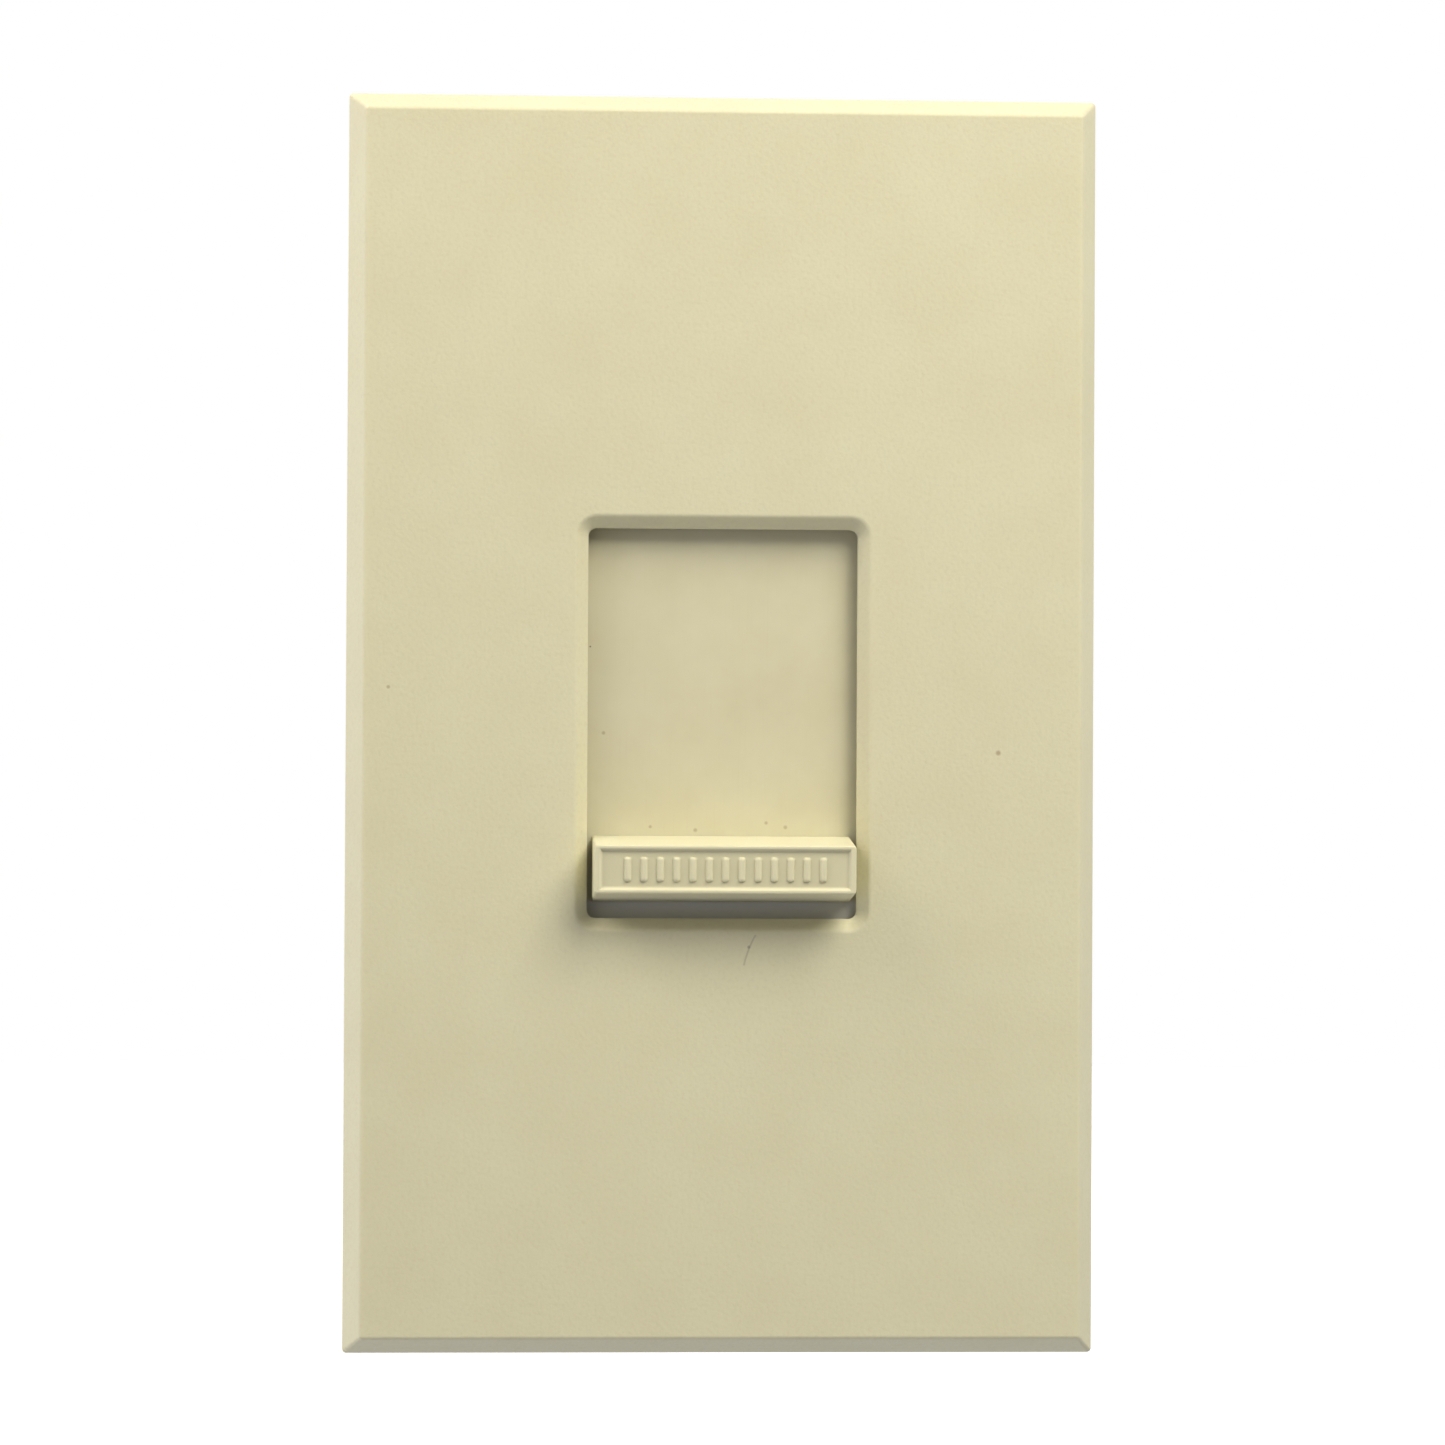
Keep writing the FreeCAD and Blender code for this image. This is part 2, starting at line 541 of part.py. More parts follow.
def insulating_sheet():
    body = new_body("insulating_sheet")
    sheet_y, through = ("0", SHEET_BACK), ("-1", f"{SHEET_BACK} + 1")
    slab(body, both(HOUSING_HALF), sheet_y, both(HOUSING_REACH))
    slab(body, both("neck_width/2 + 3*slide_gap"), through, both(SLOT_REACH), cut)
    for x, z in corners_of(BOSS_X, BOSS_Z):
        rod(body, x, z, "screw_radius + slide_gap", through, cut)
    pad_x = both("tab_width/2 + pad_margin + fit_gap", TRIAC_X)
    pad_z = ("triac_top - tab_length - pad_margin - fit_gap", "triac_top + pad_margin + fit_gap")
    slab(body, pad_x, through, pad_z, cut)
    return keep(body)


def rear_housing():
    body = new_body("rear_housing")
    slab(body, both(HOUSING_HALF), (SHEET_BACK, HOUSING_BACK), both(HOUSING_REACH))
    front, back = number(SHEET_BACK), number(HOUSING_BACK)
    round_edges(
        body,
        "housing_corner",
        lambda b: near(b.YMax, back) and (near(b.YMin, front) or near(b.YMin, back)),
    )
    inner_x, inner_z = f"({HOUSING_HALF} - housing_wall)", f"({HOUSING_REACH} - housing_wall)"
    slab(body, both(inner_x), ("0", HOUSING_FLOOR), both(inner_z), cut)
    for x, z in corners_of(BOSS_X, BOSS_Z):
        rod(body, x, z, "boss_radius", (SHEET_BACK, f"{HOUSING_FLOOR} + 0.2"))
        rod(body, x, z, "screw_radius + fit_gap", ("0", "screw_length"), cut)
    for side in (-1, 1):
        for end in (-1, 1):
            slab(
                body,
                (f"{side}*({BOARD_HALF} - 1)", f"{side}*({inner_x} + housing_wall/2)"),
                (BOARD_BACK, f"{HOUSING_FLOOR} + 0.2"),
                both("1.2", f"{end}*({BOARD_REACH} - 5)"),
            )
        rod(
            body,
            f"{side}*grommet_spacing/2",
            "-grommet_drop",
            "grommet_barrel + fit_gap",
            (f"{HOUSING_FLOOR} - 1", f"{HOUSING_BACK} + 1"),
            cut,
        )
        for level in (-1, 0, 1):
            slab(
                body,
                both("0.6", f"{side}*{HOUSING_HALF}/2 + {level}*2.6"),
                (f"{HOUSING_BACK} - 0.2", f"{HOUSING_BACK} + 0.8"),
                (f"{HOUSING_REACH}/3", f"{HOUSING_REACH} - 2*housing_corner"),
            )
    back_wall = (f"{HOUSING_FLOOR} - 1", f"{HOUSING_BACK} + 1")
    rod(body, TRIM_X, "-trim_drop", "rotor_radius + 0.5", back_wall, cut)
    return keep(body)


def housing_screws():
    screws = []
    for i, (x, z) in enumerate(corners_of(BOSS_X, BOSS_Z), start=1):
        body = new_body(f"housing_screw_{i}")
        cone(body, x, z, ("screw_head", "screw_radius"), (f"{YOKE_FRONT} + 0.1", f"{YOKE_FRONT}/2"))
        rod(body, x, z, "screw_radius", (f"{YOKE_FRONT}/2", f"{YOKE_FRONT} + screw_length"))
        slot = (f"{YOKE_FRONT} - 1", f"{YOKE_FRONT} + 0.6")
        slab(body, both("1.3", x), slot, both("0.25", z), cut)
        slab(body, both("0.25", x), slot, both("1.3", z), cut)
        screws.append(body)
    return group("housing_screws", screws)


def potentiometer_frame():
    """The channel that guides the carriage head, closed at the back by the resistor strip."""
    body = new_body("potentiometer_frame")
    slab(body, both(FRAME_HALF), (SHEET_BACK, FRAME_BACK), both(FRAME_REACH))
    channel_y = (f"{SHEET_BACK} + frame_wall", f"{FRAME_BACK} + 1")
    slab(body, both(f"{FRAME_HALF} - frame_wall"), channel_y, both(f"{FRAME_REACH} - frame_wall"), cut)
    front_wall = ("0", f"{SHEET_BACK} + frame_wall + 0.1")
    slab(body, both("neck_width/2 + slide_gap"), front_wall, both(SLOT_REACH), cut)
    return keep(body)


def strip_piece(label, x, y, z):
    body = new_body(label)
    slab(body, x, y, z)
    return body


def circuit_board():
    body = new_body("circuit_board")
    slab(body, both(BOARD_HALF), (BOARD_FRONT, BOARD_BACK), both(BOARD_REACH))
    through = (f"{BOARD_FRONT} - 1", f"{BOARD_BACK} + 1")
    for i in (-1, 0, 1):
        rod(body, f"{TRIAC_X} + {i}*lead_pitch", TRIAC_LEG_Z, "lead_width/2 + 0.2", through, cut)
    for x, z in leg_places():
        rod(body, x, z, "wire_radius + fit_gap", through, cut)
    for x, z in terminal_places():
        rod(body, x, z, "0.9", through, cut)
    for x, z in choke_leg_places():
        rod(body, x, z, "choke_wire + fit_gap", through, cut)
    return keep(body)


def terminal_places():
    return [(f"{side}*grommet_spacing/2", f"2.2 - {BOARD_REACH}") for side in (-1, 1)]


def choke_leg_places():
    return [(f"{side}*3", f"{CHOKE_Z} - {CHOKE_OUTER} - choke_wire - 0.1") for side in (-1, 1)]


# Leaded components on the back of the board: centre x, centre z, half length along X, body radius.
AXIALS = {
    "resistor_1": (f"(9.1 - {BOARD_HALF})", "-16.6", "3.2", "1.15"),
    "resistor_2": (f"(9.1 - {BOARD_HALF})", "-20.2", "3.2", "1.15"),
    "diac": (f"({BOARD_HALF} - 8.1)", "-17.4", "2.0", "0.95"),
}
# Box capacitors: x range, z range, height.
FILTER_CAPACITOR = ((f"1.2 - {BOARD_HALF}", f"15.2 - {BOARD_HALF}"), ("-12.4", "-5.6"), "11")
TIMING_X = (f"{TRIM_X} - 12.4", f"{TRIM_X} - 5.2")
TIMING_CAPACITORS = [(TIMING_X, ("-8.2", "-5.4"), "6.5"), (TIMING_X, ("-12.6", "-9.8"), "6.5")]


def axial_legs(spec):
    x, z, half, _ = spec
    return [(f"({x}) + {side}*({half} + 1.4)", z) for side in (-1, 1)]


def box_legs(spec):
    x, z, _ = spec
    middle = f"({z[0]} + {z[1]})/2"
    return [(f"({x[0]}) + 1.1", middle), (f"({x[1]}) - 1.1", middle)]


def leg_places():
    places = []
    for spec in AXIALS.values():
        places += axial_legs(spec)
    for spec in [FILTER_CAPACITOR, *TIMING_CAPACITORS]:
        places += box_legs(spec)
    return places


def axial_y(radius):
    return f"({BOARD_BACK} + {radius} + 0.3)"


def lying_rod(label, spec, radius, half, ends=None):
    """A cylinder along X over the board."""
    body = new_body(label)
    x, z, _, body_radius = spec
    sketch = sketch_on(body, "YZ_Plane", f"({x}) - ({half})" if ends is None else ends[0])
    y = axial_y(body_radius)
    centre = FreeCAD.Vector(number(y), number(z), 0)
    sketch.addGeometry(Part.Circle(centre, FreeCAD.Vector(0, 0, 1), number(radius)), False)
    pin_point(sketch, 0, 3, (y, z))
    at = sketch.addConstraint(Sketcher.Constraint("Radius", 0, number(radius)))
    bind(sketch, f"Constraints[{at}]", radius)
    grow(body, sketch, f"2*({half})" if ends is None else f"({ends[1]}) - ({ends[0]})")
    return body


def axial_components():
    for name in ("resistor_1", "resistor_2"):
        spec = AXIALS[name]
        body = lying_rod(name + "_body", spec, spec[3], spec[2])
        round_edges(body, "0.4", lambda b: b.XLength < 1e-4)
    group("resistors", [doc.getObject("resistor_1_body"), doc.getObject("resistor_2_body")])
    spec = AXIALS["diac"]
    diac = lying_rod("diac", spec, spec[3], spec[2])
    round_edges(diac, "0.5", lambda b: b.XLength < 1e-4)
    keep(diac)


def component_legs():
    """Tinned legs: each axial leg runs out of its body and turns down through the board."""
    legs = []
    flush = f"({BOARD_FRONT} + 0.05)"
    for name, spec in AXIALS.items():
        x, z, half, radius = spec
        for side in (-1, 1):
            near_end, far_end = f"({x}) + {side}*({half})", f"({x}) + {side}*({half} + 1.4 + wire_radius)"
            ends = (near_end, far_end) if side > 0 else (far_end, near_end)
            leg = lying_rod(f"{name}_leg", spec, "wire_radius", "0", ends)
            rod(leg, f"({x}) + {side}*({half} + 1.4)", z, "wire_radius", (flush, axial_y(radius)))
            legs.append(leg)
    for spec in [FILTER_CAPACITOR, *TIMING_CAPACITORS]:
        for x, z in box_legs(spec):
            leg = new_body("capacitor_leg")
            rod(leg, x, z, "wire_radius", (flush, f"{BOARD_BACK} + 0.4"))
            legs.append(leg)
    return group("component_legs", legs)


def box_capacitor(label, spec):
    """A film capacitor in a potted box, standing on small feet over the board."""
    x, z, height = spec
    body = new_body(label)
    slab(body, x, (f"{BOARD_BACK} + 0.4", f"{BOARD_BACK} + {height}"), z)
    top = number(f"{BOARD_BACK} + {height}")
    round_edges(body, "0.5", lambda b: near(b.YMax, top))
    return body


def triac():
    tab = new_body("triac_tab")
    tab_y = (SHEET_BACK, f"{SHEET_BACK} + tab_thick")
    low = "(triac_top - tab_length)"
    slab(tab, both("tab_width/2", TRIAC_X), tab_y, (low, "triac_top"))
    rod(tab, TRIAC_X, RIVET_Z, "rivet_radius + 0.2", ("0", f"{tab_y[1]} + 1"), cut)
    keep(tab)
    epoxy = new_body("triac_body")
    epoxy_y = (tab_y[1], f"{tab_y[1]} + epoxy_thick")
    slab(epoxy, both("tab_width/2", TRIAC_X), epoxy_y, (low, f"{low} + epoxy_length"))
    back = number(epoxy_y[1])
    round_edges(epoxy, "0.4", lambda b: near(b.YMax, back))
    keep(epoxy)
    leads = []
    lead_y = f"({tab_y[1]} + 1.2)"
    for i in (-1, 0, 1):
        lead = new_body(f"triac_lead_{i + 2}")
        x = both("lead_width/2", f"{TRIAC_X} + {i}*lead_pitch")
        slab(lead, x, (lead_y, f"{lead_y} + 0.5"), (f"{TRIAC_LEG_Z} - 0.25", low))
        slab(lead, x, (lead_y, f"{BOARD_BACK} + 0.8"), both("0.25", TRIAC_LEG_Z))
        leads.append(lead)
    group("triac_leads", leads)
    pad = strip_piece(
        "triac_insulator",
        both("tab_width/2 + pad_margin", TRIAC_X),
        ("0", SHEET_BACK),
        (f"{low} - pad_margin", "triac_top + pad_margin"),
    )
    rod(pad, TRIAC_X, RIVET_Z, "rivet_radius + 0.2", ("-1", f"{SHEET_BACK} + 1"), cut)
    keep(pad)
    rivet = new_body("triac_rivet")
    cone(rivet, TRIAC_X, RIVET_Z, ("rivet_head", "rivet_radius"), (f"{YOKE_FRONT} + 0.1", f"{YOKE_FRONT}/2"))
    rod(rivet, TRIAC_X, RIVET_Z, "rivet_radius", (f"{YOKE_FRONT}/2", f"{tab_y[1]} + 0.1"))
    rod(rivet, TRIAC_X, RIVET_Z, "rivet_head", (tab_y[1], f"{tab_y[1]} + 1"))
    keep(rivet)


def choke():
    """A toroidal suppression choke: the core lies on the board, and its turns are separate rings round it."""
    core = doc.addObject("Part::Torus", "choke_core")
    bind(core, "Radius1", "choke_ring")
    bind(core, "Radius2", "choke_section")
    core.Placement = FreeCAD.Placement(FreeCAD.Vector(), FreeCAD.Rotation(FreeCAD.Vector(1, 0, 0), 90))
    bind(core, "Placement.Base.y", CHOKE_Y)
    bind(core, "Placement.Base.z", CHOKE_Z)
    keep(core, "choke_core")
    turns = []
    step = 2 * math.pi / (CHOKE_TURNS + CHOKE_GAP_TURNS)
    for i in range(CHOKE_TURNS):
        angle = -math.pi / 2 + step * (i + 0.5 + CHOKE_GAP_TURNS / 2)
        turn = doc.addObject("Part::Torus", "choke_turn")
        bind(turn, "Radius1", "choke_section + choke_wire + fit_gap")
        bind(turn, "Radius2", "choke_wire")
        tangent = FreeCAD.Vector(-math.sin(angle), 0, math.cos(angle))
        lean = FreeCAD.Rotation(FreeCAD.Vector(0, 0, 1), tangent)
        turn.Placement = FreeCAD.Placement(FreeCAD.Vector(), lean)
        bind(turn, "Placement.Base.x", f"choke_ring*{math.cos(angle):.9f}")
        bind(turn, "Placement.Base.y", CHOKE_Y)
        bind(turn, "Placement.Base.z", f"{CHOKE_Z} + choke_ring*{math.sin(angle):.9f}")
        turns.append(turn)
    for x, z in choke_leg_places():
        leg = new_body("choke_leg")
        rod(leg, x, z, "choke_wire", (f"{BOARD_FRONT} + 0.05", CHOKE_Y))
        turns.append(leg)
    group("choke_winding", turns)


def trimmer():
    base = new_body("trimmer_base")
    half = both("trim_size/2", TRIM_X), both("trim_size/2", "-trim_drop")
    top = f"({BOARD_BACK} + trim_height)"
    slab(base, half[0], (BOARD_BACK, top), half[1])
    rod(base, TRIM_X, "-trim_drop", "0.85", (f"{top} - 2", f"{top} + 1"), cut)
    keep(base)
    rotor = new_body("trimmer_rotor")
    head_y = (f"{top} + 0.1", f"{top} + 0.1 + rotor_thick")
    rod(rotor, TRIM_X, "-trim_drop", "rotor_radius", head_y)
    rod(rotor, TRIM_X, "-trim_drop", "0.8", (f"{top} - 1.9", f"{top} + 0.2"))
    slot_y = (f"{head_y[1]} - 0.5", f"{head_y[1]} + 1")
    slab(rotor, both("rotor_radius + 1", TRIM_X), slot_y, both("0.3", "-trim_drop"), cut)
    keep(rotor)


def lead_grommets():
    grommets = []
    for i in (-1, 1):
        body = new_body("lead_grommet")
        x, z = f"{i}*grommet_spacing/2", "-grommet_drop"
        rod(body, x, z, "grommet_flange", (HOUSING_BACK, f"{HOUSING_BACK} + grommet_flange_thick"))
        rod(body, x, z, "grommet_barrel", (f"{HOUSING_FLOOR} - 0.1", f"{HOUSING_BACK} + 0.1"))
        rod(body, x, z, "grommet_flange", (f"{HOUSING_FLOOR} - grommet_flange_thick", HOUSING_FLOOR))
        ends = (f"{HOUSING_FLOOR} - grommet_flange_thick - 1", f"{HOUSING_BACK} + grommet_flange_thick + 1")
        rod(body, x, z, "grommet_bore", ends, cut)
        grommets.append(body)
    return group("lead_grommets", grommets)


def lead_terminals():
    terminals = []
    for x, z in terminal_places():
        body = new_body("lead_terminal")
        rod(body, x, z, "0.85", (f"{BOARD_FRONT} + 0.05", f"{BOARD_BACK} + 3.4"))
        rod(body, x, z, "1.5", (BOARD_BACK, f"{BOARD_BACK} + 0.6"))
        rod(body, x, z, "1.2", (f"{BOARD_BACK} + 2.8", f"{BOARD_BACK} + 3.4"))
        terminals.append(body)
    return group("lead_terminals", terminals)


def potentiometer_tracks():
    """The strip behind the carriage: a carbon track with its collector, and the two switch rails."""
    keep(strip_piece("resistor_strip", both(FRAME_HALF), (FRAME_BACK, STRIP_BACK), both(FRAME_REACH)))
    track_y = (TRACK_FRONT, FRAME_BACK)
    reach = "(knob_travel/2 + 1.8)"
    keep(strip_piece("carbon_track", ("-1.6 - track_width", "-1.6"), track_y, both(reach)))
    keep(strip_piece("collector_rail", ("-0.6 - rail_strip_width + 0.6", "0"), track_y, both(reach)))
    low = f"({KNOB_Z} + switch_lift)"
    rails = [
        strip_piece(f"switch_rail_{i}", (x, f"{x} + rail_strip_width"), track_y, (low, reach))
        for i, x in enumerate(("1.4", "3.4"), start=1)
    ]
    group("switch_rails", rails)


faceplate()
mounting_yoke()
slide_guide_frame()
slide_shutter()
slider_knob()
slide_carriage()
leaf_contact("wiper_contact", ("-3.6", "0"), ("-1.5", "-1.3"))
leaf_contact("switch_bridge", ("1.4", "4.6"), ("2.7", "3.3"))
insulating_sheet()
rear_housing()
housing_screws()
potentiometer_frame()
potentiometer_tracks()
circuit_board()
triac()
choke()
trimmer()
lead_grommets()
lead_terminals()
keep(box_capacitor("filter_capacitor", FILTER_CAPACITOR))
group("timing_capacitors", [box_capacitor("timing_capacitor", spec) for spec in TIMING_CAPACITORS])
axial_components()
component_legs()
doc.recompute()

failed = [thing.Label for thing in doc.Objects if {"Invalid", "Error"} & set(thing.State)]
if failed:
    raise RuntimeError(f"these objects failed: {failed}")
for part in parts:
    if part.Shape.isNull() or not part.Shape.isValid() or not part.Shape.Solids:
        raise RuntimeError(f"{part.Label} has no valid solid")

os.makedirs("parts", exist_ok=True)
for part in parts:
    part.Shape.exportStep(os.path.join("parts", part.Label + ".step"))
    print(f"{part.Label}: {len(part.Shape.Solids)} solid(s), {part.Shape.Volume:.1f} mm3")
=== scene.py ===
"""Slide dimmer switch: its visible pieces, their finishes and the studio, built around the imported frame."""

import math

import bmesh
import bpy
from bpy.props import FloatProperty, FloatVectorProperty, IntProperty, PointerProperty
from mathutils import Matrix, Vector


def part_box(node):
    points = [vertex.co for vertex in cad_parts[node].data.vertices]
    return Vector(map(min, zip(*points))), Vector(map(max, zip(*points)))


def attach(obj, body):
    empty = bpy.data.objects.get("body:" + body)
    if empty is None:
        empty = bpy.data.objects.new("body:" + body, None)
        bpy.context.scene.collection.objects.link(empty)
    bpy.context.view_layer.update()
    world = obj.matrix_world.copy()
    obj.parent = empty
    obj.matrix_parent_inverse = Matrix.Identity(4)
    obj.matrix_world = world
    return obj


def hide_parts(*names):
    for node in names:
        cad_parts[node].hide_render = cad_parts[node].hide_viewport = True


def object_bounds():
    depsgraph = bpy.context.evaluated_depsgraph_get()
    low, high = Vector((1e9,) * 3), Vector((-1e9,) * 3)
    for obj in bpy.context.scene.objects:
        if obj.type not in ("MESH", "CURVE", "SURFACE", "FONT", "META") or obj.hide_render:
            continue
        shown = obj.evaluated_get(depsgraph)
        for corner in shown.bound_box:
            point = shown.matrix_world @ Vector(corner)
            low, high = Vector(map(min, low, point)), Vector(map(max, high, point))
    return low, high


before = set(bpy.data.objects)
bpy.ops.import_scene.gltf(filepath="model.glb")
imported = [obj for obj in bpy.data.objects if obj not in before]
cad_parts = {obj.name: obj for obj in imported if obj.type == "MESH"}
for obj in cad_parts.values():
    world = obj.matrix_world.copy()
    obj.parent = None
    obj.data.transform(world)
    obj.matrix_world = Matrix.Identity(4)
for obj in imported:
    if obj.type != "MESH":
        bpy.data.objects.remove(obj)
CAD_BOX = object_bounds()

bl_info = {
    "name": "Slide Dimmer Switch",
    "version": (1, 0, 0),
    "blender": (4, 5, 0),
    "location": "3D View > Sidebar > Dimmer",
    "description": "Builds the pieces, finishes and studio of a slide dimmer switch around its frame",
    "category": "Object",
}

MM = 0.001
X_AXIS = Vector((1.0, 0.0, 0.0))
Y_AXIS = Vector((0.0, 1.0, 0.0))
SHADER = "shader"
EVEN = (1, 1, 1)
LONG_RUN = (1, 1, 6)


def linear_colour(code):
    """The linear RGBA colour of an sRGB hex value."""
    channels = [int(code[i : i + 2], 16) / 255 for i in (0, 2, 4)]
    linear = [c / 12.92 if c <= 0.04045 else ((c + 0.055) / 1.055) ** 2.4 for c in channels]
    return (*linear, 1.0)


def per_mm(size):
    """The texture scale whose features are this many millimetres across."""
    return 1.0 / (size * MM)


# ------------------------------------------------------------------ settings

# Each material slot of the record, with the colour that its finish starts from.
SLOT_COLOURS = {
    "ivory_plastic": ("Plate ivory", "Moulded plate and finger bar", "D7D3B1"),
    "ivory_shutter": ("Shutter ivory", "Moulded strip behind the window", "D6D1B1"),
    "aluminium": ("Aluminium", "Extruded yoke", "C4C5C5"),
    "black_nylon": ("Black nylon", "Guide frame and potentiometer channel", "26262A"),
    "white_nylon": ("White nylon", "Carriage", "E4E2DA"),
    "fishpaper": ("Fishpaper", "Insulating sheet", "5C6B5A"),
    "grey_thermoplastic": ("Grey thermoplastic", "Rear housing", "3A3B3D"),
    "zinc_steel": ("Zinc", "Plated screws and rivet", "C3C5C2"),
    "tinned_copper": ("Tin", "Tinned legs, leads and terminals", "C9CBCD"),
    "epoxy_glass_board": ("Solder mask", "Circuit board", "3F6A36"),
    "phenolic_strip": ("Phenolic paper", "Resistor strip", "6B4526"),
    "carbon_ink": ("Carbon ink", "Resistive track", "17171A"),
    "brass": ("Brass", "Contacts and rails", "C9A55A"),
    "epoxy_black": ("Black epoxy", "Triac body", "1B1B1D"),
    "mica_pad": ("Mica", "Insulating pad", "B9B3A2"),
    "ferrite": ("Coated core", "Choke core", "C9B23A"),
    "enamelled_copper": ("Enamelled copper", "Choke winding", "9A4A22"),
    "film_yellow": ("Yellow box", "Filter capacitor", "D9B23C"),
    "blue_polymer": ("Blue polymer", "Timing capacitors and trimmer base", "2C5D9A"),
    "resistor_tan": ("Resistor lacquer", "Resistor bodies", "C8A877"),
    "diac_glass": ("Diac glass", "Diac body", "8C3A2A"),
    "black_rubber": ("Black rubber", "Lead grommets", "1E1E1F"),
    "rotor_white": ("Rotor white", "Trimmer rotor", "E9E6DC"),
}


class FinishColours(bpy.types.PropertyGroup):
    """The colour that each finish starts from."""


for slot_name, (label, use, code) in SLOT_COLOURS.items():
    FinishColours.__annotations__[slot_name] = FloatVectorProperty(
        name=label, description=use, default=linear_colour(code), size=4, min=0, max=1, subtype="COLOR"
    )


class FingerBarSizes(bpy.types.PropertyGroup):
    """Sizes of the finger bar that its box doesn't give."""

    front_height: FloatProperty(
        name="Front height", description="Height of the front face", default=4.42 * MM, unit="LENGTH"
    )
    corner: FloatProperty(
        name="Corner", description="Radius of the outline's corners", default=0.24 * MM, unit="LENGTH"
    )
    rim: FloatProperty(
        name="Rim",
        description="Width of the raised rim along the long sides",
        default=0.45 * MM,
        unit="LENGTH",
    )
    rim_ends: FloatProperty(
        name="Rim at the ends",
        description="Width of the raised rim at the ends",
        default=0.6 * MM,
        unit="LENGTH",
    )
    field_depth: FloatProperty(
        name="Field depth",
        description="How far the field lies behind the rim",
        default=0.32 * MM,
        unit="LENGTH",
    )
    ribs: IntProperty(name="Ribs", description="Number of grip ribs", default=13, min=0)
    rib_pitch: FloatProperty(
        name="Rib pitch", description="Distance from rib to rib", default=1.5 * MM, unit="LENGTH"
    )
    rib_width: FloatProperty(
        name="Rib width", description="Width of a rib", default=0.6 * MM, unit="LENGTH"
    )
    rib_length: FloatProperty(
        name="Rib length", description="Length of a rib", default=2.3 * MM, unit="LENGTH"
    )
    rib_relief: FloatProperty(
        name="Rib relief",
        description="How far a rib stands above the field",
        default=0.3 * MM,
        unit="LENGTH",
    )
    stem: FloatProperty(
        name="Stem", description="Half the stem's width", default=3.0 * MM, unit="LENGTH"
    )
    barb: FloatProperty(name="Barb", description="Reach of a barb", default=0.4 * MM, unit="LENGTH")


class WindingSizes(bpy.types.PropertyGroup):
    """Sizes of the choke's winding."""

    turns: IntProperty(name="Turns", description="Turns round the core", default=20, min=1)
    wire: FloatProperty(name="Wire", description="Radius of the wire", default=0.45 * MM, unit="LENGTH")
    gap: FloatProperty(name="Gap", description="Bare part of the core", default=0.56, unit="ROTATION")


class GrommetSizes(bpy.types.PropertyGroup):
    """Sizes of a lead grommet that its box doesn't give."""

    bore: FloatProperty(
        name="Bore", description="Radius of the lead's hole", default=1.85 * MM, unit="LENGTH"
    )
    barrel: FloatProperty(
        name="Barrel", description="Radius in the wall", default=3.5 * MM, unit="LENGTH"
    )
    flange: FloatProperty(
        name="Flange", description="Thickness of a flange", default=1.2 * MM, unit="LENGTH"
    )
    edge: FloatProperty(
        name="Edge", description="Radius of the flange's edges", default=0.45 * MM, unit="LENGTH"
    )


class ResistorSizes(bpy.types.PropertyGroup):
    """Sizes of a resistor that its box doesn't give."""

    cap: FloatProperty(name="Cap", description="Length of an end cap", default=1.0 * MM, unit="LENGTH")
    waist: FloatProperty(
        name="Waist", description="Radius between the caps", default=0.96 * MM, unit="LENGTH"
    )


# Each setting of the studio: name, description, default and unit.
STUDIO_VALUES = {
    "key_power": ("Key", "Power of the key softbox", 3.95, "POWER"),
    "key_height": ("Key elevation", "Angle of the key softbox above the front", 0.765, "ROTATION"),
    "key_side": ("Key azimuth", "Angle of the key softbox to the right", 0.644, "ROTATION"),
    "key_distance": ("Key distance", "Distance of the key softbox", 0.62, "LENGTH"),
    "key_size": ("Key size", "Width of the key softbox", 0.40, "LENGTH"),
    "fill_power": ("Fill", "Power of the left softbox", 1.0, "POWER"),
    "back_power": ("Back", "Power of the rear softbox", 3.0, "POWER"),
    "tent": ("Tent", "Brightness of the tent's roof and ground", 0.66, "NONE"),
    "walls": ("Walls", "How much brighter the tent's side walls are", 0.27, "NONE"),
    "front": ("Front", "How much darker the tent's front is", 0.66, "NONE"),
    "roof": ("Roof", "How much brighter the roof is than the middle", -0.11, "NONE"),
    "left": ("Left", "How much brighter the tent's left wall is", 0.30, "NONE"),
    "lens": ("Lens", "Focal length in millimetres", 136.9, "NONE"),
}


class StudioSettings(bpy.types.PropertyGroup):
    """The studio's lights and camera."""


for setting, (label, use, value, unit) in STUDIO_VALUES.items():
    StudioSettings.__annotations__[setting] = FloatProperty(
        name=label, description=use, default=value, unit=unit
    )


class DimmerSettings(bpy.types.PropertyGroup):
    """All settings of the dimmer."""

    colours: PointerProperty(type=FinishColours)
    bar: PointerProperty(type=FingerBarSizes)
    winding: PointerProperty(type=WindingSizes)
    grommet: PointerProperty(type=GrommetSizes)
    resistor: PointerProperty(type=ResistorSizes)
    studio: PointerProperty(type=StudioSettings)


# ------------------------------------------------------------------ finishes


def add_node(tree, kind, inputs=None, **settings):
    """Adds a node, sets its settings, and sets or links its inputs."""
    node = tree.nodes.new(kind)
    for key, value in settings.items():
        setattr(node, key, value)
    for key, value in (inputs or {}).items():
        if isinstance(value, bpy.types.Node):
            value = value.outputs[0]
        if isinstance(value, bpy.types.NodeSocket):
            tree.links.new(value, node.inputs[key])
        else:
            node.inputs[key].default_value = value
    return node


